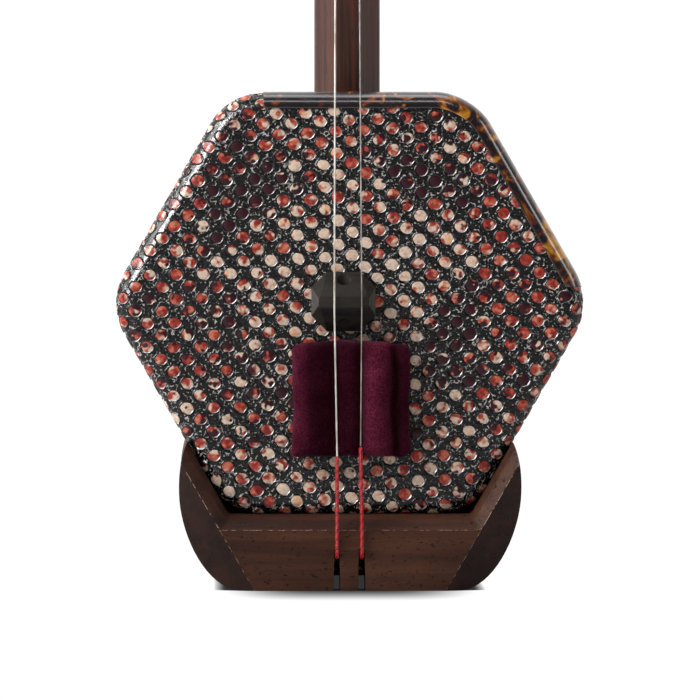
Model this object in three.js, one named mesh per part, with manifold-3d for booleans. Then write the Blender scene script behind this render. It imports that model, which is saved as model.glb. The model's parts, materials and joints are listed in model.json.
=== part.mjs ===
/**
 * Erhu, a two-stringed bowed spike fiddle with a hexagonal sound box.
 *
 * Millimetres, +Z up. The skinned front of the box faces -Y and +X is to the
 * right of somebody looking at that front. The instrument stands on its base.
 * Inside the file the neck's axis is X = 0, Y = 0; the last lines centre the
 * whole instrument over the origin.
 */
import * as THREE from 'three';
import { mergeVertices } from 'three/addons/utils/BufferGeometryUtils.js';
import { ConvexGeometry } from 'three/addons/geometries/ConvexGeometry.js';
import Module from 'manifold-3d';

const wasm = await Module();
wasm.setup();

// ---------------------------------------------------------------------------
// Driving dimensions
// ---------------------------------------------------------------------------

const GAP = 0.3; // clearance between pieces that touch on the real instrument

// The front of the box is a hexagon with its flats at the top and the bottom.
const HEX = { centreZ: 60, apothem: 44, cornerRadius: 12.8 };

const SKIN = { faceY: -42, thickness: 0.8, edgeRadius: 3, hemY: -34 };

const BOX = {
  thickness: 7, // of a stave
  rearY: 85.7,
  waistY: 42,
  waistApothem: 37.8,
  rearApothem: 39.5,
  cornerShare: 0.27, // corner radius as a share of the apothem
  inset: SKIN.thickness + GAP + 0.1, // of the wood below the skin's outside
};

const GUARD = { thickness: 0.4, leftX: -18.2, endZ: 63.5, rearY: -20.5, frontApothem: 41.1 };

const WINDOW = { apothem: 32, thickness: 5, frontY: 80.4, cellPitch: 12, cellApothem: 5.1 };

const RIM = { outerApothem: 39.9, innerApothem: 30.5, frontY: 86, rearY: 88.5 };

const NECK = {
  width: 14,
  depth: 16,
  chamfer: 4.45,
  shoulderZ: 91,
  topZ: 767.7,
  tenonRadius: 5.5,
  tenonEndZ: 10.6,
};

const HEAD = { baseZ: 768, topZ: 810, tipY: 36, bevel: 2.5 };

const PEG = {
  tipY: -27,
  handleY: 42,
  handleEndY: 112,
  buttonEndY: 123,
  flutes: 8,
  fluteDepth: 0.09,
  handleRadius: 9,
};
const LOWER_PEG = { z: 650, tipRadius: 2.7, shaftRadius: 3.6, coilY: -15 };
const UPPER_PEG = { z: 745, tipRadius: 3.6, shaftRadius: 4.2, coilY: -18 };
const COIL = { thickness: 0.6, halfLength: 2 };

const INNER_STRING = { radius: 0.225, silkTopZ: 27.9, bridgeX: -3.4, padX: -2.8, qianjinX: -1.9 };
const OUTER_STRING = { radius: 0.15, silkTopZ: 30, bridgeX: 2.3, padX: 2.1, qianjinX: -0.1 };
const SILK_RADIUS = 0.4;

const QIANJIN = { z: 447, height: 6, stringY: -22, thickness: 1.2, slotFrom: -2.8, slotTo: 1.05 };

const BRIDGE = {
  x: -1.4,
  z: 60.5,
  width: 13.4,
  height: 12.4,
  footDepth: 1.8,
  ridgeWidth: 10.6,
  ridgeThickness: 2.3,
  ridgeY: -51,
  holeRadius: 1.5,
};
const STRING_Y_AT_BRIDGE = BRIDGE.ridgeY - 0.5;

const PAD = { left: -12.2, right: 12.6, bottom: 28.1, top: 52.4, bottomY: -47.9, topY: -49.7 };

const BASE = {
  frontY: -47,
  rearY: 50,
  halfWidth: 35.8,
  footHalfWidth: 23.2,
  armX: 34.3,
  armZ: 30.8,
  lip: 3.2, // how far the chamfer of the cradle's mouth opens the hexagon
  facetFootX: 20.9,
  facetFootZ: 1.5,
  facetSlope: Math.tan(THREE.MathUtils.degToRad(30)),
  recess: { halfWidth: 14, frontY: -39, rearY: 22, roofZ: 10 },
  slotTopZ: 8.8,
};
const STRING_SLOTS = [
  { x: -2.8, topHalf: 0.75, footHalf: 1.15 },
  { x: 2.4, topHalf: 0.8, footHalf: 1.35 },
];

const WASHER = { radius: 8.5, holeRadius: 2.4, topZ: 9.7, thickness: 1.5 };
const SCREW = { headRadius: 4, headZ: 5.4, shankRadius: 2, tipZ: 26 };
const STRING_PIN = { radius: 1.2, headRadius: 1.9, y: -24, footZ: 3.2, tipZ: 13.6, loopZ: 6.4 };

// ---------------------------------------------------------------------------
// Materials
// ---------------------------------------------------------------------------

const material = (color, roughness, metalness = 0) =>
  new THREE.MeshStandardMaterial({ color, roughness, metalness });

const finish = {
  boxWood: material(0x4a2419, 0.3),
  neckWood: material(0x47261d, 0.35),
  baseWood: material(0x5a3024, 0.6),
  bridgeWood: material(0x2b2626, 0.6),
  python: material(0x7d4a3c, 0.35),
  tortoiseshell: material(0x54301a, 0.15),
  bone: material(0xe6dcc3, 0.4),
  velvet: material(0x541a36, 0.95),
  redSilk: material(0xb5182a, 0.7),
  thread: material(0x2f3a5c, 0.8),
  steel: material(0xb9babd, 0.25, 1),
  brass: material(0xb98d3e, 0.3, 1),
};

// ---------------------------------------------------------------------------
// Solids: closed geometries, cut and joined
// ---------------------------------------------------------------------------

/** Gives the closed solid inside a geometry, with its shared corners merged. */
function solid(geometry) {
  const bare = geometry.clone();
  for (const name of Object.keys(bare.attributes)) {
    if (name !== 'position') bare.deleteAttribute(name);
  }
  const merged = mergeVertices(bare, 1e-4);
  const corners = merged.index.array;
  const triangles = [];
  for (let i = 0; i < corners.length; i += 3) {
    const [a, b, c] = corners.slice(i, i + 3);
    if (a !== b && b !== c && c !== a) triangles.push(a, b, c);
  }
  const vertProperties = new Float32Array(merged.attributes.position.array);
  const triVerts = new Uint32Array(triangles);
  return new wasm.Manifold(new wasm.Mesh({ numProp: 3, vertProperties, triVerts }));
}

/** Gives back a geometry for a solid. */
function geometryOf(body) {
  const { vertProperties, triVerts } = body.getMesh();
  const geometry = new THREE.BufferGeometry();
  geometry.setAttribute('position', new THREE.BufferAttribute(vertProperties, 3));
  geometry.setIndex(new THREE.BufferAttribute(triVerts, 1));
  geometry.computeVertexNormals();
  return geometry;
}

/** Cuts every tool out of a solid. */
const cut = (body, ...tools) => tools.reduce((rest, tool) => rest.subtract(tool), body);

/** Extrudes an outline drawn in X and Z along Y. */
function alongY(shape, fromY, toY) {
  const geometry = new THREE.ExtrudeGeometry(shape, {
    depth: toY - fromY,
    bevelEnabled: false,
    curveSegments: 4,
  });
  return geometry.rotateX(Math.PI / 2).translate(0, toY, 0);
}

/** Extrudes an outline drawn in X and Y along Z. */
function upward(shape, fromZ, toZ) {
  const geometry = new THREE.ExtrudeGeometry(shape, { depth: toZ - fromZ, bevelEnabled: false });
  return geometry.translate(0, 0, fromZ);
}

/** A cylinder along Y between two places on its axis. */
const rodY = (radius, x, z, fromY, toY, sides = 24) =>
  new THREE.CylinderGeometry(radius, radius, toY - fromY, sides).translate(x, (fromY + toY) / 2, z);

/** A cylinder along Z between two heights. */
const rodZ = (radius, x, y, fromZ, toZ, sides = 24) =>
  new THREE.CylinderGeometry(radius, radius, toZ - fromZ, sides)
    .rotateX(Math.PI / 2)
    .translate(x, y, (fromZ + toZ) / 2);

/** A box between two corners. */
function block(low, high) {
  const size = high.map((value, axis) => value - low[axis]);
  const middle = high.map((value, axis) => (value + low[axis]) / 2);
  return new THREE.BoxGeometry(...size).translate(...middle);
}

/** Turns a profile of [radius, y] pairs, listed from low to high Y, about the Y axis. */
function turned(profile, segments = 24) {
  return new THREE.LatheGeometry(profile.map(([r, y]) => new THREE.Vector2(r, y)), segments);
}

/** A route through given places, with one place at each step of an extrusion. */
class Route extends THREE.Curve {
  constructor(places) {
    super();
    this.places = places.map((place) => new THREE.Vector3(...place));
    this.steps = places.length - 1;
  }

  getPoint(t, target = new THREE.Vector3()) {
    const at = Math.min(Math.floor(t * this.steps), this.steps - 1);
    return target.lerpVectors(this.places[at], this.places[at + 1], t * this.steps - at);
  }

  getPointAt(u, target) {
    return this.getPoint(u, target);
  }

  getTangentAt(u, target = new THREE.Vector3()) {
    const at = Math.round(u * this.steps);
    target.set(0, 0, 0);
    for (const from of [at - 1, at]) {
      if (from < 0 || from >= this.steps) continue;
      target.add(this.places[from + 1].clone().sub(this.places[from]).normalize());
    }
    return target.normalize();
  }
}

/** A round cord of 8 sides along a list of places. */
function cord(places, radius) {
  const section = new THREE.Shape();
  for (let side = 0; side < 8; side += 1) {
    const angle = (side * Math.PI) / 4;
    const corner = [radius * Math.cos(angle), radius * Math.sin(angle)];
    if (side === 0) section.moveTo(...corner);
    else section.lineTo(...corner);
  }
  const route = new Route(places);
  return new THREE.ExtrudeGeometry(section, { steps: route.steps, extrudePath: route });
}

// ---------------------------------------------------------------------------
// The hexagonal outline and its lofts
// ---------------------------------------------------------------------------

/** A hexagon with rounded corners about the origin, its flats at top and bottom. */
function roundedHexagon(apothem, radius) {
  const shape = new THREE.Shape();
  const reach = (apothem - radius) / Math.cos(Math.PI / 6);
  for (let corner = 0; corner < 6; corner += 1) {
    const angle = (corner * Math.PI) / 3;
    const [x, z] = [reach * Math.cos(angle), reach * Math.sin(angle)];
    shape.absarc(x, z, radius, angle - Math.PI / 6, angle + Math.PI / 6, false);
  }
  return shape;
}

/** Joins hexagons at stations { y, apothem, radius }, listed front to rear, into one solid. */
function hexagonLoft(stations) {
  const positions = [];
  const indices = [];
  let count = 0;
  for (const { y, apothem, radius } of stations) {
    const ring = roundedHexagon(apothem, radius).getPoints(3);
    ring.pop(); // the outline ends where it starts
    count = ring.length;
    for (const point of ring) positions.push(point.x, y, HEX.centreZ + point.y);
  }
  for (let level = 0; level + 1 < stations.length; level += 1) {
    for (let i = 0; i < count; i += 1) {
      const [a, b] = [level * count + i, level * count + ((i + 1) % count)];
      indices.push(a, a + count, b + count, a, b + count, b);
    }
  }
  const last = (stations.length - 1) * count;
  for (let i = 1; i + 1 < count; i += 1) {
    indices.push(0, i, i + 1, last, last + i + 1, last + i);
  }
  const geometry = new THREE.BufferGeometry();
  geometry.setAttribute('position', new THREE.Float32BufferAttribute(positions, 3));
  geometry.setIndex(indices);
  return solid(geometry);
}

/** Apothem of the wooden box at a place along it: it narrows to a waist, then flares a little. */
function boxApothem(y) {
  const front = HEX.apothem - BOX.inset;
  if (y < BOX.waistY) {
    const share = (BOX.waistY - y) / (BOX.waistY - SKIN.hemY);
    return BOX.waistApothem + (front - BOX.waistApothem) * Math.min(share, 1) ** 2;
  }
  const share = (y - BOX.waistY) / (BOX.rearY - BOX.waistY);
  return BOX.waistApothem + (BOX.rearApothem - BOX.waistApothem) * share ** 2;
}

/** Stations along the wooden box behind the hem of the skin, moved outward by an offset. */
function boxStations(offset) {
  return [-32.5, -20, -5, 10, 25, 42, 57, 71, BOX.rearY].map((y) => {
    const apothem = boxApothem(y);
    return { y, apothem: apothem + offset, radius: apothem * BOX.cornerShare + offset };
  });
}

/** Stations over the rounded front edge, for a surface that lies an offset outside the skin. */
function edgeStations(offset, steps = 4) {
  const bend = SKIN.edgeRadius + offset;
  return Array.from({ length: steps + 1 }, (_, step) => {
    const angle = (step / steps) * (Math.PI / 2);
    const inset = SKIN.edgeRadius - bend * Math.sin(angle);
    return {
      y: SKIN.faceY + SKIN.edgeRadius - bend * Math.cos(angle),
      apothem: HEX.apothem - inset,
      radius: HEX.cornerRadius - inset,
    };
  });
}

/** A straight rounded-hexagon prism between two places along the box. */
function hexagonPrism(apothem, radius, fromY, toY) {
  return hexagonLoft([
    { y: fromY, apothem, radius },
    { y: toY, apothem, radius },
  ]);
}

// ---------------------------------------------------------------------------
// Sound box
// ---------------------------------------------------------------------------

const neckOutline = (clearance) => {
  const [w, d] = [NECK.width / 2 + clearance, NECK.depth / 2 + clearance];
  const c = NECK.chamfer + clearance * 0.6;
  const corners = [
    [w, c - d], [w, d - c], [w - c, d], [c - w, d],
    [-w, d - c], [-w, c - d], [c - w, -d], [w - c, -d],
  ];
  return new THREE.Shape(corners.map(([x, y]) => new THREE.Vector2(x, y)));
};

/** The six glued staves, each a sixth of the tube between mitred joints. */
function makeStaves() {
  const frontEdge = edgeStations(-BOX.inset, 2);
  const outside = hexagonLoft([...frontEdge, ...boxStations(0)]);
  const inner = [frontEdge.at(-1), ...boxStations(0)].map(({ y, apothem, radius }) => ({
    y,
    apothem: apothem - BOX.thickness,
    radius: radius - BOX.thickness + 1,
  }));
  inner[0].y = SKIN.faceY - 1;
  inner.at(-1).y = BOX.rearY + 1;
  const tube = outside.subtract(hexagonLoft(inner));
  const names = ['upper_right', 'top', 'upper_left', 'lower_left', 'bottom', 'lower_right'];
  const holes = {
    top: solid(upward(neckOutline(GAP), HEX.centreZ, HEX.centreZ + 60)),
    bottom: solid(rodZ(NECK.tenonRadius + GAP, 0, 0, 0, HEX.centreZ)),
  };
  return names.map((name, index) => {
    const middle = THREE.MathUtils.degToRad(30 + 60 * index);
    const wedge = new THREE.Shape();
    const reach = 80;
    const start = GAP / 2 / Math.sin(Math.PI / 6);
    wedge.moveTo(start * Math.cos(middle), start * Math.sin(middle));
    for (const turn of [-Math.PI / 6, Math.PI / 6]) {
      const angle = middle + turn;
      wedge.lineTo(
        start * Math.cos(middle) + reach * Math.cos(angle),
        start * Math.sin(middle) + reach * Math.sin(angle),
      );
    }
    const tool = solid(alongY(wedge, -60, 100).translate(0, 0, HEX.centreZ));
    const stave = tube.intersect(tool);
    return [`box_stave_${name}`, holes[name] ? stave.subtract(holes[name]) : stave];
  });
}

/** The python skin: a stretched face with its edge turned back over the box. */
function makeSkin() {
  const outside = edgeStations(0);
  outside.push({ ...outside.at(-1), y: SKIN.hemY });
  const inside = edgeStations(-SKIN.thickness);
  inside.push({ ...inside.at(-1), y: SKIN.hemY + 1 });
  return hexagonLoft(outside).subtract(hexagonLoft(inside));
}

/** The thin guard bent over the front edge, where the bow would rub the box. */
function makeGuard() {
  const cover = (offset, beyond) => {
    const stations = edgeStations(offset);
    stations.push({ ...stations.at(-1), y: SKIN.hemY });
    stations.push(...boxStations(offset).slice(0, 2));
    stations.at(-1).y += beyond;
    return hexagonLoft(stations);
  };
  const sheet = cover(GAP + GUARD.thickness, 0).subtract(cover(GAP, 1));
  const region = new THREE.Shape();
  region.moveTo(GUARD.leftX, 0);
  region.lineTo(60, 0);
  region.lineTo(60, 60);
  region.lineTo(GUARD.leftX, 60);
  const window = alongY(region, -60, GUARD.rearY).translate(0, 0, GUARD.endZ);
  const face = hexagonPrism(GUARD.frontApothem, HEX.cornerRadius - 2.9, -60, SKIN.faceY + 1);
  return sheet.intersect(solid(window)).subtract(face);
}

/** The pierced rear window: a honeycomb of nineteen cells in a hexagonal frame. */
function makeRearWindow() {
  const frame = roundedHexagon(WINDOW.apothem, WINDOW.apothem * 0.25);
  const corner = WINDOW.cellApothem / Math.cos(Math.PI / 6);
  for (let column = -2; column <= 2; column += 1) {
    for (let row = -2; row <= 2; row += 1) {
      if (Math.abs(column + row) > 2) continue;
      const x = WINDOW.cellPitch * (column + row / 2);
      const z = WINDOW.cellPitch * row * Math.cos(Math.PI / 6);
      const cell = Array.from({ length: 6 }, (_, side) => {
        const angle = Math.PI / 6 + (side * Math.PI) / 3;
        return new THREE.Vector2(x + corner * Math.cos(angle), z + corner * Math.sin(angle));
      });
      frame.holes.push(new THREE.Path(cell));
    }
  }
  const geometry = alongY(frame, WINDOW.frontY, WINDOW.frontY + WINDOW.thickness);
  return solid(geometry.translate(0, 0, HEX.centreZ));
}

/** The binding that closes the rear edge of the staves and holds the window in. */
function makeRearRim() {
  const { outerApothem, innerApothem, frontY, rearY } = RIM;
  const outside = hexagonPrism(outerApothem, outerApothem * BOX.cornerShare, frontY, rearY);
  return outside.subtract(hexagonPrism(innerApothem, 6, frontY - 1, rearY + 1));
}

// ---------------------------------------------------------------------------
// Neck and head
// ---------------------------------------------------------------------------

/** The octagonal neck, round where it runs through the box down to the base. */
function makeNeck() {
  const shaft = solid(upward(neckOutline(0), NECK.shoulderZ, NECK.topZ));
  const tenon = solid(rodZ(NECK.tenonRadius, 0, 0, NECK.tenonEndZ, NECK.shoulderZ + 1));
  const holes = [LOWER_PEG, UPPER_PEG].map(({ shaftRadius, z }) =>
    solid(rodY(shaftRadius + GAP, 0, z, -20, 20)));
  const screwHole = solid(rodZ(SCREW.shankRadius + GAP, 0, 0, 0, SCREW.tipZ + 1, 12));
  return cut(shaft.add(tenon), ...holes, screwHole);
}

/** The carved head, which bends backward from the top of the neck. */
function makeHead() {
  const { baseZ, topZ, tipY, bevel } = HEAD;
  const half = NECK.depth / 2 - bevel;
  const [low, high] = [baseZ + bevel, topZ - bevel];
  const profile = new THREE.Shape();
  profile.moveTo(-half, low);
  profile.lineTo(half, low);
  profile.bezierCurveTo(half, low + 18, half + 10, low + 20, tipY - bevel, high - 14);
  profile.lineTo(tipY - bevel, high - 3);
  profile.bezierCurveTo(half + 14, high + 4, -half, high - 2, -half, low);
  const geometry = new THREE.ExtrudeGeometry(profile, {
    depth: NECK.width - 2 * bevel,
    bevelThickness: bevel,
    bevelSize: bevel,
    bevelSegments: 1,
    curveSegments: 8,
  });
  // The outline was drawn in Y and Z, so its own axes turn from X, Y, Z into Y, Z, X.
  const turn = new THREE.Matrix4().set(0, 0, 1, bevel - NECK.width / 2, 1, 0, 0, 0, 0, 1, 0, 0, 0, 0, 0, 1);
  return solid(geometry.applyMatrix4(turn));
}

/** The bone plate on the end of the head. */
function makeHeadInlay() {
  const { topZ, tipY } = HEAD;
  return solid(block([-3.5, tipY + GAP, topZ - 18], [3.5, tipY + GAP + 1.5, topZ - 7]));
}

// ---------------------------------------------------------------------------
// Tuning pegs
// ---------------------------------------------------------------------------

/** A tapered peg with a fluted handle behind the neck. */
function makePeg({ tipRadius, shaftRadius }) {
  const { tipY, handleY, handleEndY, handleRadius, flutes, fluteDepth } = PEG;
  const geometry = turned([
    [0, tipY], [tipRadius - 0.4, tipY], [tipRadius, tipY + 0.8], [shaftRadius, 9],
    [shaftRadius + 0.6, 26], [shaftRadius + 1.2, handleY - 3], [shaftRadius + 1.3, handleY],
    [6.4, handleY + 5], [7.2, handleY + 20], [handleRadius - 0.6, handleY + 42],
    [handleRadius, handleEndY - 14], [handleRadius - 0.5, handleEndY - 5],
    [6.2, handleEndY], [0, handleEndY],
  ], 4 * flutes);
  const place = geometry.attributes.position;
  for (let i = 0; i < place.count; i += 1) {
    const [x, y, z] = [place.getX(i), place.getY(i), place.getZ(i)];
    if (y < handleY + 1 || y > handleEndY - 1) continue;
    const groove = (1 - Math.cos(flutes * Math.atan2(z, x))) / 2;
    place.setXYZ(i, x * (1 - fluteDepth * groove), y, z * (1 - fluteDepth * groove));
  }
  return solid(geometry);
}

/** The bone button on the end of a peg's handle. */
function makePegButton() {
  const [foot, end] = [PEG.handleEndY + GAP, PEG.buttonEndY];
  return solid(turned([
    [0, foot], [5, foot], [5.4, foot + 1.2], [4.6, foot + 5],
    [3, end - 1.4], [1.4, end - 0.3], [0, end],
  ], 20));
}

/** The turns of string wound on a peg, as one ring. */
function makeCoil(peg) {
  const { outer, inner } = coilRadii(peg);
  const [low, high] = [peg.coilY - COIL.halfLength, peg.coilY + COIL.halfLength];
  return solid(turned([
    [inner, low], [outer, low + 0.3], [outer, high - 0.3], [inner, high], [inner, low],
  ], 24));
}

/** Radii of the string wound on a peg, at the place where it is wound. */
function coilRadii({ tipRadius, shaftRadius, coilY }) {
  const share = (coilY + COIL.halfLength - PEG.tipY) / (9 - PEG.tipY);
  const inner = tipRadius + (shaftRadius - tipRadius) * share + GAP;
  return { inner, outer: inner + COIL.thickness };
}

// ---------------------------------------------------------------------------
// Strings, bridge, damper and the loop on the neck
// ---------------------------------------------------------------------------

/** How far in front a string runs at a height between the bridge and the base. */
function stringY(z) {
  const [lipZ, lipY] = [13, BASE.frontY - GAP - SILK_RADIUS - 0.05];
  const share = THREE.MathUtils.clamp((z - lipZ) / (BRIDGE.z - lipZ), 0, 1);
  return lipY + (STRING_Y_AT_BRIDGE - lipY) * share;
}

/** A steel string from its silk, over the bridge and through the loop, to its peg. */
function makeString({ radius, silkTopZ, bridgeX, padX, qianjinX }, peg, side) {
  const pegX = side * (coilRadii(peg).outer + GAP + radius);
  const footZ = silkTopZ + GAP;
  return solid(cord([
    [padX, stringY(footZ), footZ],
    [bridgeX, STRING_Y_AT_BRIDGE, BRIDGE.z],
    [qianjinX, QIANJIN.stringY, QIANJIN.z],
    [pegX, peg.coilY, peg.z],
  ], radius));
}

/** The silk-wrapped lower end of a string, looped over its pin under the base. */
function makeSilk({ silkTopZ, padX }, slotX) {
  const frontY = stringY(0);
  const { y: pinY, loopZ, radius } = STRING_PIN;
  const loopRadius = radius + GAP + SILK_RADIUS;
  const loop = Array.from({ length: 9 }, (_, step) => {
    const angle = THREE.MathUtils.degToRad(-90 + 35 * step);
    const [x, y] = [loopRadius * Math.cos(angle), loopRadius * Math.sin(angle)];
    return [slotX + x, pinY + y, loopZ - 0.12 * step];
  });
  return solid(cord([
    [padX, stringY(silkTopZ), silkTopZ],
    [slotX, frontY, 13],
    [slotX, frontY, 8.6],
    [slotX, frontY + 0.5, 7.5],
    [slotX, frontY + 1.6, 7],
    [slotX - loopRadius * 0.4, pinY - loopRadius - 3, loopZ],
    ...loop,
  ], SILK_RADIUS));
}

/** The loop of thread that draws both strings toward the neck. */
function makeQianjin() {
  const { z, height, stringY: y, thickness, slotFrom, slotTo } = QIANJIN;
  const ring = (extra) => {
    const [w, d] = [NECK.width / 2 + GAP + extra, NECK.depth / 2 + GAP + extra];
    const c = NECK.chamfer * 0.9;
    const nose = y - 0.9 - extra;
    const corners = [
      [w, c - d], [w, d - c], [w - c, d], [c - w, d], [-w, d - c], [-w, c - d],
      [slotFrom - extra, nose + 0.8], [slotFrom - extra * 0.4, nose],
      [slotTo + extra * 0.4, nose], [slotTo + extra, nose + 0.8],
    ];
    return new THREE.Shape(corners.map((corner) => new THREE.Vector2(...corner)));
  };
  const outside = solid(upward(ring(thickness), z - height / 2, z + height / 2));
  return outside.subtract(solid(upward(ring(0), z - height, z + height)));
}

/** The bridge: a block with an octagonal foot that slopes up to a thin ridge. */
function makeBridge() {
  const { x, z, width, height, footDepth, ridgeWidth, ridgeThickness, ridgeY, holeRadius } = BRIDGE;
  const footY = SKIN.faceY - GAP;
  const corners = [];
  for (const [y, w, h, cutOff] of [
    [footY, width / 2, height / 2, 3.2],
    [footY - footDepth, width / 2, height / 2, 3.2],
    [ridgeY, ridgeWidth / 2, ridgeThickness / 2, 0.4],
  ]) {
    for (const right of [-1, 1]) {
      for (const up of [-1, 1]) {
        corners.push(new THREE.Vector3(x + right * w, y, z + up * (h - cutOff)));
        corners.push(new THREE.Vector3(x + right * (w - cutOff), y, z + up * h));
      }
    }
  }
  const hole = solid(rodZ(holeRadius, x, footY - footDepth - 2.2, z - 10, z + 10, 16));
  return solid(new ConvexGeometry(corners)).subtract(hole);
}

/** The velvet damper pad under the strings, a wedge with round sides. */
function makePad() {
  const { left, right, bottom, top, bottomY, topY } = PAD;
  const back = SKIN.faceY - GAP;
  const corners = [];
  for (const [z, front, shrink] of [
    [bottom, bottomY + 1, 0.8], [bottom + 1.2, bottomY, 0],
    [top - 1.2, topY, 0], [top, topY + 1, 0.8],
  ]) {
    for (const [x, inward] of [[left, 1], [right, -1]]) {
      corners.push(new THREE.Vector3(x + inward * shrink, back, z));
      corners.push(new THREE.Vector3(x + inward * shrink, front + 2.4, z));
      corners.push(new THREE.Vector3(x + inward * (shrink + 0.8), front + 0.8, z));
      corners.push(new THREE.Vector3(x + inward * (shrink + 2.6), front, z));
    }
  }
  return solid(new ConvexGeometry(corners));
}

// ---------------------------------------------------------------------------
// Base and its fittings
// ---------------------------------------------------------------------------

/** The outline of the base from the front, with two arms that rise beside the box. */
function baseOutline() {
  const { footHalfWidth: foot, halfWidth: wide, armX, armZ } = BASE;
  const shape = new THREE.Shape();
  shape.moveTo(-foot, 0);
  shape.lineTo(foot, 0);
  shape.bezierCurveTo(foot + 7, 0.4, wide - 0.6, 11, wide, 19);
  shape.bezierCurveTo(wide + 0.3, 23.5, wide - 0.2, 27.5, armX, armZ);
  shape.lineTo(-armX, armZ);
  shape.bezierCurveTo(-wide + 0.2, 27.5, -wide - 0.3, 23.5, -wide, 19);
  shape.bezierCurveTo(-wide + 0.6, 11, -foot - 7, 0.4, -foot, 0);
  return shape;
}

/** The hollow that the box sits in, opened by a chamfer at the front. */
function makeCradle() {
  const { lip, frontY } = BASE;
  const radius = HEX.cornerRadius + GAP;
  const apothem = HEX.apothem + GAP;
  const slope = lip / (SKIN.faceY - GAP - frontY);
  return hexagonLoft([
    { y: frontY - 1, apothem: apothem + lip + slope, radius: radius + lip + slope },
    { y: SKIN.faceY - GAP, apothem, radius },
    { y: SKIN.hemY + GAP, apothem, radius },
    ...boxStations(GAP),
  ]);
}

/** The wedge cut off one side of the base's front (end -1) or rear (end +1). */
function makeFacet(side, end) {
  const faceY = end < 0 ? BASE.frontY : BASE.rearY;
  const reach = 40;
  const wedge = new THREE.Shape();
  wedge.moveTo(0, 0);
  wedge.lineTo(reach, -end * reach * BASE.facetSlope);
  wedge.lineTo(reach, end * 20);
  wedge.lineTo(0, end * 20);
  const outward = new THREE.Vector3((side * Math.sqrt(3)) / 2, 0, -0.5);
  const depthwise = new THREE.Vector3(0, 1, 0);
  const along = new THREE.Vector3().crossVectors(outward, depthwise);
  const place = new THREE.Matrix4().makeBasis(outward, depthwise, along);
  place.setPosition(side * BASE.facetFootX, faceY, BASE.facetFootZ);
  const geometry = upward(wedge, -60, 60).applyMatrix4(place);
  return solid(geometry);
}

/** A slot in the base's front wall, wider at the foot, where a string goes under. */
function makeSlot({ x, topHalf, footHalf }) {
  const shape = new THREE.Shape();
  shape.moveTo(x - footHalf * 1.05, -1);
  shape.lineTo(x + footHalf * 1.05, -1);
  shape.lineTo(x + topHalf, BASE.slotTopZ - topHalf);
  shape.absarc(x, BASE.slotTopZ - topHalf, topHalf, 0, Math.PI, false);
  return solid(alongY(shape, BASE.frontY - 6, BASE.recess.frontY + 1));
}

/** The base: a carved block that cradles the box and hides the strings' ends. */
function makeBase() {
  const { halfWidth, frontY, rearY, roofZ } = BASE.recess;
  const body = solid(alongY(baseOutline(), BASE.frontY, BASE.rearY));
  const facets = [-1, 1].flatMap((side) => [-1, 1].map((end) => makeFacet(side, end)));
  return cut(
    body,
    makeCradle(),
    ...facets,
    solid(block([-halfWidth, frontY, -1], [halfWidth, rearY, roofZ])),
    ...STRING_SLOTS.map(makeSlot),
    solid(rodZ(NECK.tenonRadius + GAP, 0, 0, 0, 40)),
    ...STRING_SLOTS.map(({ x }) =>
      solid(rodZ(STRING_PIN.radius + GAP, x, STRING_PIN.y, 0, STRING_PIN.tipZ + GAP, 12))),
  );
}

/** The brass washer under the end of the neck. */
function makeWasher() {
  const { radius, holeRadius, topZ, thickness } = WASHER;
  const disc = solid(rodZ(radius, 0, 0, topZ - thickness, topZ, 32));
  return disc.subtract(solid(rodZ(holeRadius, 0, 0, 0, 20, 16)));
}

/** The screw that draws the base up onto the neck. */
function makeScrew() {
  const { headRadius, headZ, shankRadius, tipZ } = SCREW;
  const headTopZ = WASHER.topZ - WASHER.thickness - GAP;
  const profile = [
    [0, headZ], [headRadius - 0.8, headZ], [headRadius, headZ + 0.8], [headRadius, headTopZ],
    [shankRadius, headTopZ], [shankRadius, tipZ - 3], [0, tipZ],
  ];
  const slot = block([-headRadius - 1, -0.5, headZ - 1], [headRadius + 1, 0.5, headZ + 0.9]);
  return solid(turned(profile, 16).rotateX(Math.PI / 2)).subtract(solid(slot));
}

/** A headed pin in the recess, which holds the loop of one string. */
function makeStringPin(x) {
  const { radius, headRadius, y, footZ, tipZ } = STRING_PIN;
  const profile = [
    [0, footZ], [headRadius, footZ], [headRadius, footZ + 1], [radius, footZ + 1.4],
    [radius, tipZ], [0, tipZ],
  ];
  return solid(turned(profile, 12).rotateX(Math.PI / 2).translate(x, y, 0));
}

// ---------------------------------------------------------------------------
// Assembly
// ---------------------------------------------------------------------------

const instrument = new THREE.Group();

/** Adds a named piece to the instrument. */
function add(name, body, look, place = [0, 0, 0]) {
  const mesh = new THREE.Mesh(geometryOf(body), look);
  mesh.name = name;
  mesh.position.set(...place);
  instrument.add(mesh);
}

for (const [name, stave] of makeStaves()) add(name, stave, finish.boxWood);
add('python_skin', makeSkin(), finish.python);
add('bow_guard', makeGuard(), finish.tortoiseshell);
add('rear_sound_window', makeRearWindow(), finish.boxWood);
add('rear_rim', makeRearRim(), finish.boxWood);

add('neck', makeNeck(), finish.neckWood);
add('neck_head', makeHead(), finish.neckWood);
add('head_inlay', makeHeadInlay(), finish.bone);

for (const [name, peg] of [['upper_peg', UPPER_PEG], ['lower_peg', LOWER_PEG]]) {
  add(name, makePeg(peg), finish.neckWood, [0, 0, peg.z]);
  add(`${name}_button`, makePegButton(), finish.bone, [0, 0, peg.z]);
  add(name.replace('peg', 'string_coil'), makeCoil(peg), finish.steel, [0, 0, peg.z]);
}

add('inner_string', makeString(INNER_STRING, UPPER_PEG, -1), finish.steel);
add('outer_string', makeString(OUTER_STRING, LOWER_PEG, 1), finish.steel);
add('inner_string_silk', makeSilk(INNER_STRING, STRING_SLOTS[0].x), finish.redSilk);
add('outer_string_silk', makeSilk(OUTER_STRING, STRING_SLOTS[1].x), finish.redSilk);
add('qianjin_loop', makeQianjin(), finish.thread);
add('bridge', makeBridge(), finish.bridgeWood);
add('damper_pad', makePad(), finish.velvet);

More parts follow.
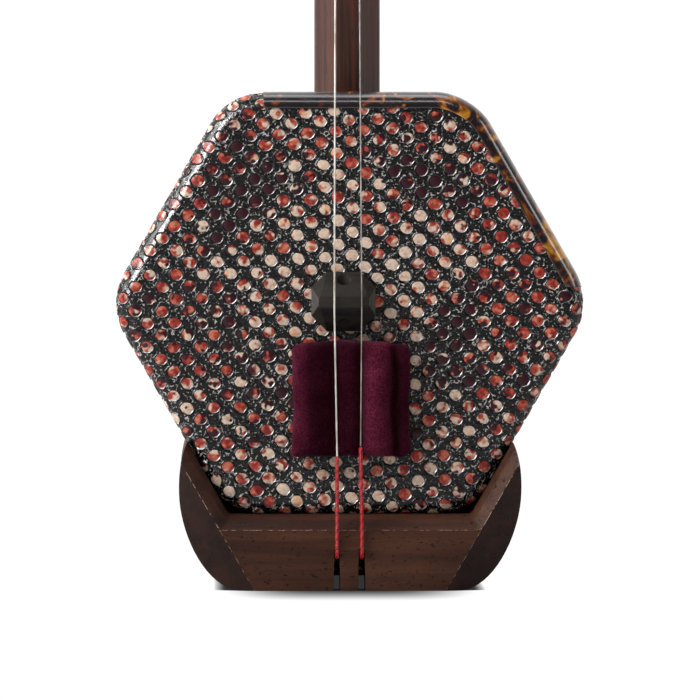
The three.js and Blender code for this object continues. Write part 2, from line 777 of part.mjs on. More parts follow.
add('base_block', makeBase(), finish.baseWood);
add('base_washer', makeWasher(), finish.brass);
add('base_screw', makeScrew(), finish.brass);
add('inner_string_pin', makeStringPin(STRING_SLOTS[0].x), finish.brass);
add('outer_string_pin', makeStringPin(STRING_SLOTS[1].x), finish.brass);

// The origin lies under the middle of the instrument's depth.
const bounds = new THREE.Box3().setFromObject(instrument);
instrument.position.y = -(bounds.min.y + bounds.max.y) / 2;

export default instrument;
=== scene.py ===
"""Erhu, a two-stringed bowed spike fiddle, dressed for a studio picture.

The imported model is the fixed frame: every size and place here is read from it or
set beside it in millimetres. The skinned front of the sound box faces -Y, +Z runs
up the neck, and +X is to the right of somebody looking at the front.
"""

from __future__ import annotations

import json
import logging
import math
import random
from dataclasses import dataclass, field
from enum import Enum
from typing import Iterable, Sequence

import bmesh
import bpy
from bmesh.types import BMEdge, BMesh, BMFace, BMVert
from bpy.types import Material, Mesh, Node, NodeLinks, Nodes, Object
from mathutils import Matrix, Vector, noise

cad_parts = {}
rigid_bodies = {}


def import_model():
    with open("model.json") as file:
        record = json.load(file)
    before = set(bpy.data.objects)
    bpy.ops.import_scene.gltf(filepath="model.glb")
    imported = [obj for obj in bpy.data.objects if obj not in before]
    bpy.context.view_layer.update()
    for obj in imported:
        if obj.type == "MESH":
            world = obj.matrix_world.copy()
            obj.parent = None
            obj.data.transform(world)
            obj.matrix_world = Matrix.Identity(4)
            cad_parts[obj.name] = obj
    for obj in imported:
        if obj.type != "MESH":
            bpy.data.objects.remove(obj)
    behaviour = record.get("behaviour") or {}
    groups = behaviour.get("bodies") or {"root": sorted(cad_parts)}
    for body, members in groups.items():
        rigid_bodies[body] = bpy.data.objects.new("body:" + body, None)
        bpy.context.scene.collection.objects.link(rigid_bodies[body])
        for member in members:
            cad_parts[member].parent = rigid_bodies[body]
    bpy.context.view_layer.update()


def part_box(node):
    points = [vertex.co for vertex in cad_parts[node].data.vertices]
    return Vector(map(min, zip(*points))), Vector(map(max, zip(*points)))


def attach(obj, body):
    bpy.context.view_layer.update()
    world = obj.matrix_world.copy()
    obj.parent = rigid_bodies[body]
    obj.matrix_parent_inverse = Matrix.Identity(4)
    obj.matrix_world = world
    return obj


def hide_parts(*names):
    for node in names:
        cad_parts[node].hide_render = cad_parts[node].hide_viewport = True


LOG = logging.getLogger("erhu")
MM = 0.001
HEX_COS = math.cos(math.pi / 6)
ROUND_STEPS = 10
Triple = tuple[float, float, float]


@dataclass(frozen=True)
class Layout:
    """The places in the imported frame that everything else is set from, in metres."""

    neck_y: float
    face_y: float
    hem_y: float
    axis_z: float
    apothem: float
    box_rear_y: float

    @classmethod
    def from_frame(cls) -> Layout:
        """Reads the layout from the boxes of the CAD nodes.

        Returns:
            The layout of this instrument.
        """
        neck_low, neck_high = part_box("neck")
        skin_low, skin_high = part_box("python_skin")
        _, stave_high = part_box("box_stave_top")
        return cls(
            neck_y=(neck_low.y + neck_high.y) / 2,
            face_y=skin_low.y,
            hem_y=skin_high.y,
            axis_z=(skin_low.z + skin_high.z) / 2,
            apothem=(skin_high.z - skin_low.z) / 2,
            box_rear_y=stave_high.y,
        )


# ---- Mesh helpers ----


def show(item: Object) -> None:
    """Links an object to the scene."""
    bpy.context.scene.collection.objects.link(item)


def face_outwards(bm: BMesh) -> None:
    """Turns the faces of closed shapes outwards."""
    bmesh.ops.recalc_face_normals(bm, faces=bm.faces[:])


def face_front(bm: BMesh) -> None:
    """Turns the faces of an open shell outwards, so that its frontmost face looks to -Y."""
    face_outwards(bm)
    if min(bm.faces, key=lambda face: face.calc_center_median().y).normal.y > 0:
        bmesh.ops.reverse_faces(bm, faces=bm.faces[:])


def cut_plane(bm: BMesh, place: Vector, normal: Vector, clear: bool = True, dist: float = 0.0) -> None:
    """Cuts a mesh along a plane.

    Args:
        bm: The mesh.
        place: A place on the plane.
        normal: The plane's direction.
        clear: Whether to take away what lies beyond the plane.
        dist: How close to the plane a vertex counts as on it.
    """
    geom = bm.verts[:] + bm.edges[:] + bm.faces[:]
    bmesh.ops.bisect_plane(bm, geom=geom, dist=dist, plane_co=place, plane_no=normal, clear_outer=clear)


def verts_of(geometry: Iterable) -> list[BMVert]:
    """The vertices among the elements that an operator made."""
    return [item for item in geometry if isinstance(item, BMVert)]


def faces_of(geometry: Iterable) -> list[BMFace]:
    """The faces among the elements that an operator made."""
    return [item for item in geometry if isinstance(item, BMFace)]


def bevel_edges(bm: BMesh, edges: list, width: float, segments: int = 2) -> None:
    """Rounds edges of a mesh.

    Args:
        bm: The mesh.
        edges: The edges to round.
        width: How far the rounding reaches from each edge, in metres.
        segments: How many faces the rounding has across it.
    """
    bmesh.ops.bevel(
        bm,
        geom=edges,
        offset=width,
        offset_type="OFFSET",
        segments=segments,
        profile=0.5,
        affect="EDGES",
        material=-1,
        clamp_overlap=True,
    )


def sharp_edges(bm: BMesh, degrees: float = 30.0) -> list:
    """The edges where two faces meet at more than an angle."""
    limit = math.radians(degrees)
    return [e for e in bm.edges if len(e.link_faces) == 2 and e.calc_face_angle(0.0) > limit]


def extrude(bm: BMesh, faces: list[BMFace], move: Vector) -> tuple[list[BMFace], list[BMVert]]:
    """Extrudes faces and moves what is new.

    Args:
        bm: The mesh.
        faces: The faces to extrude.
        move: How far to move the new faces.

    Returns:
        The new faces and their vertices.
    """
    edges = list({edge for face in faces for edge in face.edges})
    made = bmesh.ops.extrude_face_region(bm, geom=[*faces, *edges])["geom"]
    verts = verts_of(made)
    bmesh.ops.translate(bm, vec=move, verts=verts)
    return faces_of(made), verts


def cut_corners(bm: BMesh, ring: list[BMVert], width: float, steps: int = 1) -> BMFace:
    """Rounds or cuts the corners of one loose face.

    Args:
        bm: The mesh.
        ring: The face's vertices.
        width: How far along its edges each corner is cut back.
        steps: How many edges each corner has afterwards.

    Returns:
        The face.
    """
    others = set(bm.faces) - {ring[0].link_faces[0]}
    bmesh.ops.bevel(
        bm,
        geom=ring,
        offset=width,
        offset_type="OFFSET",
        segments=steps,
        profile=0.5,
        affect="VERTICES",
        material=-1,
    )
    return next(face for face in bm.faces if face not in others)


def hexagon(bm: BMesh, apothem: float, corner: float, y: float, z: float, steps: int = 8) -> BMFace:
    """Adds one upright hexagonal face with round corners and its flats at top and bottom.

    Args:
        bm: The mesh.
        apothem: Distance from the middle to a flat.
        corner: Radius of the corners.
        y: Place of the face along the box.
        z: Height of its middle.
        steps: How many edges each corner has.

    Returns:
        The face.
    """
    upright = Matrix.Translation((0, y, z)) @ Matrix.Rotation(math.pi / 2, 4, "X")
    turned = upright @ Matrix.Rotation(math.pi / 6, 4, "Z")
    ring = bmesh.ops.create_circle(
        bm, cap_ends=True, radius=apothem / HEX_COS, segments=6, matrix=turned
    )["verts"]
    return cut_corners(bm, ring, corner * math.tan(math.pi / 6), steps)


def turned(bm: BMesh, profile: Sequence[tuple[float, float]], steps: int = 48) -> None:
    """Turns a profile of (radius, y) pairs, listed along the Y axis, into a closed solid.

    Args:
        bm: The mesh, which is empty.
        profile: The outline, in metres.
        steps: How many sides the solid has.
    """
    verts = [bmesh.ops.create_vert(bm, co=(radius, y, 0))["vert"][0] for radius, y in profile]
    edges = [bm.edges.new(pair) for pair in zip(verts, verts[1:])]
    bmesh.ops.spin(
        bm,
        geom=verts + edges,
        cent=(0, 0, 0),
        axis=(0, 1, 0),
        angle=math.tau,
        steps=steps,
        use_merge=True,
    )
    bmesh.ops.remove_doubles(bm, verts=bm.verts[:], dist=1e-7)
    face_outwards(bm)


def copy_of_node(node: str) -> BMesh:
    """A merged copy of a CAD node's mesh, with its flat triangles joined up.

    Args:
        node: The node's name.

    Returns:
        The copy.
    """
    bm = bmesh.new()
    bm.from_mesh(bpy.data.objects[node].data)
    bmesh.ops.remove_doubles(bm, verts=bm.verts[:], dist=2e-6)
    bmesh.ops.dissolve_limit(bm, angle_limit=math.radians(1.0), verts=bm.verts[:], edges=bm.edges[:])
    return bm


def object_from(bm: BMesh, name: str) -> Object:
    """Links a mesh to the scene as an object, and frees it.

    Args:
        bm: The mesh.
        name: The object's name.

    Returns:
        The object.
    """
    mesh = bpy.data.meshes.new(name)
    bm.to_mesh(mesh)
    bm.free()
    made = bpy.data.objects.new(name, mesh)
    show(made)
    return made


def apply_modifiers(target: Object) -> None:
    """Replaces an object's mesh with what its modifiers make of it."""
    graph = bpy.context.evaluated_depsgraph_get()
    old = target.data
    target.data = bpy.data.meshes.new_from_object(target.evaluated_get(graph))
    target.modifiers.clear()
    bpy.data.meshes.remove(old)


def carve(target: Object, cutters: Sequence[Object]) -> None:
    """Cuts closed shapes out of an object and removes them.

    Args:
        target: The object that is cut.
        cutters: The shapes to cut out.
    """
    for cutter in cutters:
        cut = target.modifiers.new("Cut", "BOOLEAN")
        cut.operation = "DIFFERENCE"
        cut.solver = "EXACT"
        cut.object = cutter
    apply_modifiers(target)
    for cutter in cutters:
        mesh = cutter.data
        bpy.data.objects.remove(cutter)
        bpy.data.meshes.remove(mesh)


@dataclass
class Assembly:
    """A sub-assembly: what its pieces ride on, and how a piece is handed over."""

    layout: Layout
    body: str = "body"

    def finish(
        self,
        piece: Object,
        slot: str,
        material: Material | None,
        replaces: Sequence[str] = (),
        smooth: float = 35.0,
    ) -> Object:
        """Shades and dresses a piece, and has it ride on the sub-assembly's body.

        Args:
            piece: The piece, in place.
            slot: The record's material slot; not used.
            material: Its material, or None where it has its materials already.
            replaces: The CAD nodes that it stands for.
            smooth: The steepest angle in degrees that is shaded smooth.

        Returns:
            The piece.
        """
        if piece.type == "MESH":
            piece.data.shade_smooth()
            piece.data.set_sharp_from_angle(angle=math.radians(smooth))
        if material is not None:
            piece.data.materials.clear()
            piece.data.materials.append(material)
        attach(piece, self.body)
        if replaces:
            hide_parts(*replaces)
        LOG.info("%s rides on %s", piece.name, self.body)
        return piece


# ---- Finishes ----


@dataclass(frozen=True)
class WoodFinish:
    """A turned, planed or carved hardwood surface.

    Attributes:
        light: Colour between the pores.
        dark: Colour of the darker growth lines.
        pore: Colour of the open pores.
        roughness: Of the surface between the pores.
        coat: Share of clear lacquer on top.
        along: The axis that the grain follows, 0, 1 or 2.
        relief: Strength of the pores' bump.
        pores_along: Pores per metre along the grain.
        across: How close the growth lines lie, per metre.
        worn: Colour of edges that are rubbed through.
    """

    light: Triple
    dark: Triple
    pore: Triple
    roughness: float
    coat: float
    along: int
    relief: float = 0.25
    pores_along: float = 420.0
    across: float = 900.0
    worn: Triple = (0.66, 0.48, 0.40)


class Wood(Enum):
    """The woods of the instrument."""

    BOX = WoodFinish((0.075, 0.022, 0.011), (0.026, 0.008, 0.005), (0.006, 0.002, 0.002), 0.30, 0.7, 1)
    NECK = WoodFinish(
        (0.100, 0.023, 0.009), (0.009, 0.004, 0.003), (0.004, 0.002, 0.002), 0.36, 0.2, 2, across=2400.0
    )
    BASE = WoodFinish(
        (0.068, 0.024, 0.011), (0.028, 0.009, 0.005), (0.012, 0.004, 0.003), 0.60, 0.0, 0, 0.6, 2400.0
    )
    # Darker wood of the base's sloped corner facets.
    BASE_FACETS = WoodFinish(
        (0.030, 0.010, 0.007), (0.013, 0.005, 0.003), (0.006, 0.002, 0.002), 0.62, 0.0, 1, 0.6
    )
    BRIDGE = WoodFinish(
        (0.022, 0.018, 0.014), (0.008, 0.007, 0.006), (0.003, 0.002, 0.002), 0.65, 0.0, 0, 0.5
    )
    # Painted light: the bridge's end faces in a lighter grey, as if lit from the side.
    BRIDGE_END_PAINTED_LIGHT = WoodFinish(
        (0.085, 0.078, 0.070), (0.050, 0.046, 0.042), (0.02, 0.018, 0.016), 0.7, 0.0, 0, 0.5
    )
    PEG = WoodFinish((0.070, 0.022, 0.012), (0.020, 0.007, 0.005), (0.006, 0.002, 0.002), 0.34, 0.25, 1)


def rgba(colour: Sequence[float]) -> tuple[float, float, float, float]:
    """A colour with full alpha."""
    return (*colour, 1.0)


def lay_out(nodes: Nodes, frames: dict[str, Sequence[Node]]) -> None:
    """Groups nodes in labelled frames, one frame to a row, and places them from left to right.

    Args:
        nodes: All the nodes of the tree; those in no frame make a wide row at the top.
        frames: The nodes of each frame, by the frame's label.
    """
    framed = {node.name for members in frames.values() for node in members}
    rows = [[node for node in nodes if node.name not in framed], *frames.values()]
    for row, members in enumerate(rows):
        for column, node in enumerate(members):
            node.location = (column * (230 if row else 920) - 1300, 500 - row * 330)
    for label, members in frames.items():
        frame = nodes.new("NodeFrame")
        frame.label = label
        for node in members:
            node.parent = frame


def empty_material(name: str) -> tuple[Material, Nodes, NodeLinks]:
    """A new material with an empty node tree.

    Args:
        name: The material's name.

    Returns:
        The material, its nodes and its links.
    """
    material = bpy.data.materials.new(name)
    material.use_nodes = True
    material.node_tree.nodes.clear()
    return material, material.node_tree.nodes, material.node_tree.links


def wood_material(name: str, finish: WoodFinish) -> Material:
    """Open-pored hardwood whose grain runs along one axis.

    Args:
        name: The material's name.
        finish: The wood's colours and surface.

    Returns:
        The material.
    """
    material, nodes, links = empty_material(name)

    place = nodes.new("ShaderNodeTexCoord")
    place.label = "Place on the instrument"
    grain_space = nodes.new("ShaderNodeMapping")
    grain_space.label = "Drawn out along the grain"
    pore_space = nodes.new("ShaderNodeMapping")
    pore_space.label = "Pores, short along the grain"
    for axis in range(3):
        along = axis == finish.along
        grain_space.inputs["Scale"].default_value[axis] = 60.0 if along else finish.across
        pore_space.inputs["Scale"].default_value[axis] = finish.pores_along if along else 4200.0

    growth = nodes.new("ShaderNodeTexNoise")
    growth.label = "Growth lines"
    cloud = nodes.new("ShaderNodeTexNoise")
    cloud.label = "Slow change of tone"
    pores = nodes.new("ShaderNodeTexNoise")
    pores.label = "Open pores"

    growth_colour = nodes.new("ShaderNodeValToRGB")
    growth_colour.label = "Dark to light wood"
    growth_colour.color_ramp.elements[0].position = 0.33
    growth_colour.color_ramp.elements[0].color = rgba(finish.dark)
    growth_colour.color_ramp.elements[1].position = 0.66
    growth_colour.color_ramp.elements[1].color = rgba(finish.light)
    tone = nodes.new("ShaderNodeMix")
    tone.label = "Darker patches"
    tone.data_type = "RGBA"
    tone.blend_type = "MULTIPLY"
    tone_range = nodes.new("ShaderNodeValToRGB")
    tone_range.label = "Patch strength"
    tone_range.color_ramp.elements[0].position = 0.35
    tone_range.color_ramp.elements[0].color = (0.45, 0.45, 0.45, 1.0)
    tone_range.color_ramp.elements[1].position = 0.62
    pore_mask = nodes.new("ShaderNodeValToRGB")
    pore_mask.label = "Where a pore is"
    pore_mask.color_ramp.elements[0].position = 0.60
    pore_mask.color_ramp.elements[1].position = 0.70
    with_pores = nodes.new("ShaderNodeMix")
    with_pores.label = "Pores in the wood"
    with_pores.data_type = "RGBA"

    edge = nodes.new("ShaderNodeAttribute")
    edge.label = "Edges that get worn"
    edge.attribute_name = "worn_edge"
    rub = nodes.new("ShaderNodeTexNoise")
    rub.label = "Rubbed dots"
    rub_mask = nodes.new("ShaderNodeValToRGB")
    rub_mask.label = "Where it is rubbed through"
    rub_mask.color_ramp.elements[0].position = 0.47
    rub_mask.color_ramp.elements[1].position = 0.56
    worn = nodes.new("ShaderNodeMath")
    worn.label = "Rubbed edge"
    worn.operation = "MULTIPLY"
    with_wear = nodes.new("ShaderNodeMix")
    with_wear.label = "Pale worn edges"
    with_wear.data_type = "RGBA"

    rough = nodes.new("ShaderNodeMapRange")
    rough.label = "Pores are duller"
    bump = nodes.new("ShaderNodeBump")
    bump.label = "Sunken pores"
    bump.invert = True
    surface = nodes.new("ShaderNodeBsdfPrincipled")
    surface.label = "Wood"
    output = nodes.new("ShaderNodeOutputMaterial")
    output.label = "Surface"

    for node, socket, value in (
        (growth, "Scale", 0.35), (growth, "Detail", 5.0), (growth, "Roughness", 0.6),
        (growth, "Distortion", 0.4), (cloud, "Scale", 45.0), (cloud, "Detail", 2.0), (pores, "Scale", 0.5),
        (pores, "Detail", 3.0), (tone, "Factor", 0.55), (with_pores, "B", rgba(finish.pore)),
        (rub, "Scale", 1300.0), (rub, "Detail", 1.0), (with_wear, "B", rgba(finish.worn)),
        (rough, "To Min", finish.roughness), (rough, "To Max", min(finish.roughness + 0.25, 0.95)),
        (bump, "Strength", finish.relief), (bump, "Distance", 0.00012),
        (surface, "Coat Weight", finish.coat), (surface, "Coat Roughness", 0.12),
        (surface, "Specular IOR Level", 0.45 if finish.coat else 0.18),
    ):
        node.inputs[socket].default_value = value

    links.new(place.outputs["Object"], grain_space.inputs["Vector"])
    links.new(place.outputs["Object"], pore_space.inputs["Vector"])
    links.new(place.outputs["Object"], cloud.inputs["Vector"])
    links.new(grain_space.outputs["Vector"], growth.inputs["Vector"])
    links.new(pore_space.outputs["Vector"], pores.inputs["Vector"])
    links.new(growth.outputs["Fac"], growth_colour.inputs["Fac"])
    links.new(cloud.outputs["Fac"], tone_range.inputs["Fac"])
    links.new(growth_colour.outputs["Color"], tone.inputs["A"])
    links.new(tone_range.outputs["Color"], tone.inputs["B"])
    links.new(pores.outputs["Fac"], pore_mask.inputs["Fac"])
    links.new(pore_mask.outputs["Color"], with_pores.inputs["Factor"])
    links.new(tone.outputs["Result"], with_pores.inputs["A"])
    links.new(place.outputs["Object"], rub.inputs["Vector"])
    links.new(rub.outputs["Fac"], rub_mask.inputs["Fac"])
    links.new(rub_mask.outputs["Color"], worn.inputs[0])
    links.new(edge.outputs["Fac"], worn.inputs[1])
    links.new(worn.outputs["Value"], with_wear.inputs["Factor"])
    links.new(with_pores.outputs["Result"], with_wear.inputs["A"])
    links.new(with_wear.outputs["Result"], surface.inputs["Base Color"])
    links.new(pore_mask.outputs["Color"], rough.inputs["Value"])
    links.new(rough.outputs["Result"], surface.inputs["Roughness"])
    links.new(pore_mask.outputs["Color"], bump.inputs["Height"])
    links.new(bump.outputs["Normal"], surface.inputs["Normal"])
    links.new(surface.outputs["BSDF"], output.inputs["Surface"])

    lay_out(
        nodes,
        {
            "Colour": [growth, growth_colour, cloud, tone_range, tone],
            "Pores": [pore_space, pores, pore_mask, rough, bump],
            "Wear": [edge, rub, rub_mask, worn, with_wear],
        },
    )
    return material


@dataclass(frozen=True)
class SkinColours:
    """The colours of the python skin, with those of its painted highlights."""

    cream: Triple = (0.60, 0.465, 0.365)
    red: Triple = (0.31, 0.034, 0.020)
    deep_red: Triple = (0.17, 0.012, 0.010)
    salmon: Triple = (0.50, 0.15, 0.09)
    maroon: Triple = (0.024, 0.002, 0.006)
    amber: Triple = (0.72, 0.30, 0.08)
    net: Triple = (0.0025, 0.0022, 0.0024)
    # Silvery painted highlight along the scales' lips.
    lip: Triple = (0.80, 0.72, 0.68)
    # Silvery painted glints on the crests of the net's wrinkles.
    net_painted_glint: Triple = (0.40, 0.38, 0.36)


def net_material(colours: SkinColours) -> Material:
    """The dark, finely wrinkled skin between the scales, with painted glints: silvery strokes along the
    wrinkles' crests.

    Args:
        colours: The skin's colours.

    Returns:
        The material.
    """
    material, nodes, links = empty_material("python_net")

    place = nodes.new("ShaderNodeTexCoord")
    place.label = "Place on the instrument"
    wrinkles = nodes.new("ShaderNodeTexVoronoi")
    wrinkles.label = "Wrinkles"
    wrinkles.feature = "DISTANCE_TO_EDGE"
    crests = nodes.new("ShaderNodeValToRGB")
    crests.label = "Thin crests along the wrinkles"
    crests.color_ramp.elements[0].position = 0.05
    crests.color_ramp.elements[0].color = (1.0, 1.0, 1.0, 1.0)
    crests.color_ramp.elements[1].position = 0.15
    crests.color_ramp.elements[1].color = (0.0, 0.0, 0.0, 1.0)
    grit = nodes.new("ShaderNodeTexNoise")
    grit.label = "Where a crest catches light"
    broken = nodes.new("ShaderNodeValToRGB")
    broken.label = "Broken into short strokes"
    broken.color_ramp.elements[0].position = 0.55
    broken.color_ramp.elements[1].position = 0.63
    strokes = nodes.new("ShaderNodeMath")
    strokes.label = "Strokes"
    strokes.operation = "MULTIPLY"
    # The silvery strokes on black are painted glints.
    pale = nodes.new("ShaderNodeMix")
    pale.label = "Silvery strokes on black"
    pale.data_type = "RGBA"
    bump = nodes.new("ShaderNodeBump")
    bump.label = "Folded surface"
    surface = nodes.new("ShaderNodeBsdfPrincipled")
    surface.label = "Glossy dark skin"
    output = nodes.new("ShaderNodeOutputMaterial")
    output.label = "Surface"

    for node, socket, value in (
        (wrinkles, "Scale", 1150.0), (wrinkles, "Randomness", 1.0), (grit, "Scale", 1250.0),
        (grit, "Detail", 2.0), (grit, "Distortion", 0.8), (pale, "A", rgba(colours.net)),
        (pale, "B", rgba(colours.net_painted_glint)), (bump, "Strength", 0.25), (bump, "Distance", 0.00006),
        (surface, "Roughness", 0.22), (surface, "Specular IOR Level", 0.32),
    ):
        node.inputs[socket].default_value = value

    links.new(place.outputs["Object"], wrinkles.inputs["Vector"])
    links.new(place.outputs["Object"], grit.inputs["Vector"])
    links.new(wrinkles.outputs["Distance"], crests.inputs["Fac"])
    links.new(grit.outputs["Fac"], broken.inputs["Fac"])
    links.new(crests.outputs["Color"], strokes.inputs[0])
    links.new(broken.outputs["Color"], strokes.inputs[1])
    links.new(strokes.outputs["Value"], pale.inputs["Factor"])
    links.new(pale.outputs["Result"], surface.inputs["Base Color"])
    links.new(crests.outputs["Color"], bump.inputs["Height"])
    links.new(bump.outputs["Normal"], surface.inputs["Normal"])
    links.new(surface.outputs["BSDF"], output.inputs["Surface"])

    lay_out(nodes, {"Strokes": [wrinkles, crests, grit, broken, strokes, pale], "Folds": [bump]})
    return material


def lip_and_painted_highlight_material(colours: SkinColours) -> Material:
    """The smooth dark lip round each scale, with a painted highlight: a silvery line where it is turned to
    the light.

    The alpha of the scales' attribute says where the painted highlight runs.

    Args:
        colours: The skin's colours.

    Returns:
        The material.
    """
    material, nodes, links = empty_material("python_lip_painted_highlight")
    place = nodes.new("ShaderNodeTexCoord")
    place.label = "Place on the instrument"
    character = nodes.new("ShaderNodeAttribute")
    character.label = "Where the line runs"
    character.attribute_name = "scale_tone_and_painted_highlight"
    patches = nodes.new("ShaderNodeTexNoise")
    patches.label = "Stretches"
    stretch = nodes.new("ShaderNodeMapRange")
    stretch.label = "How strong a stretch is"
    line = nodes.new("ShaderNodeMath")
    line.label = "Broken line"
    line.operation = "MULTIPLY"
    # The silvery line on black is a painted highlight, broken into stretches.
    tint = nodes.new("ShaderNodeMix")
    tint.label = "Silvery on black"
    tint.data_type = "RGBA"
    surface = nodes.new("ShaderNodeBsdfPrincipled")
    surface.label = "Lip"
    output = nodes.new("ShaderNodeOutputMaterial")
    output.label = "Surface"

    for node, socket, value in (
        (patches, "Scale", 900.0), (stretch, "From Min", 0.36), (stretch, "From Max", 0.56),
        (stretch, "To Min", 0.15), (tint, "A", rgba(colours.net)), (tint, "B", rgba(colours.lip)),
        (surface, "Roughness", 0.25), (surface, "Specular IOR Level", 0.4),
    ):
        node.inputs[socket].default_value = value

    links.new(place.outputs["Object"], patches.inputs["Vector"])
    links.new(patches.outputs["Fac"], stretch.inputs["Value"])
    links.new(stretch.outputs["Result"], line.inputs[0])
    links.new(character.outputs["Alpha"], line.inputs[1])
    links.new(line.outputs["Value"], tint.inputs["Factor"])
    links.new(tint.outputs["Result"], surface.inputs["Base Color"])
    links.new(surface.outputs["BSDF"], output.inputs["Surface"])
    lay_out(nodes, {"Line": [character, patches, stretch, line, tint]})
    return material


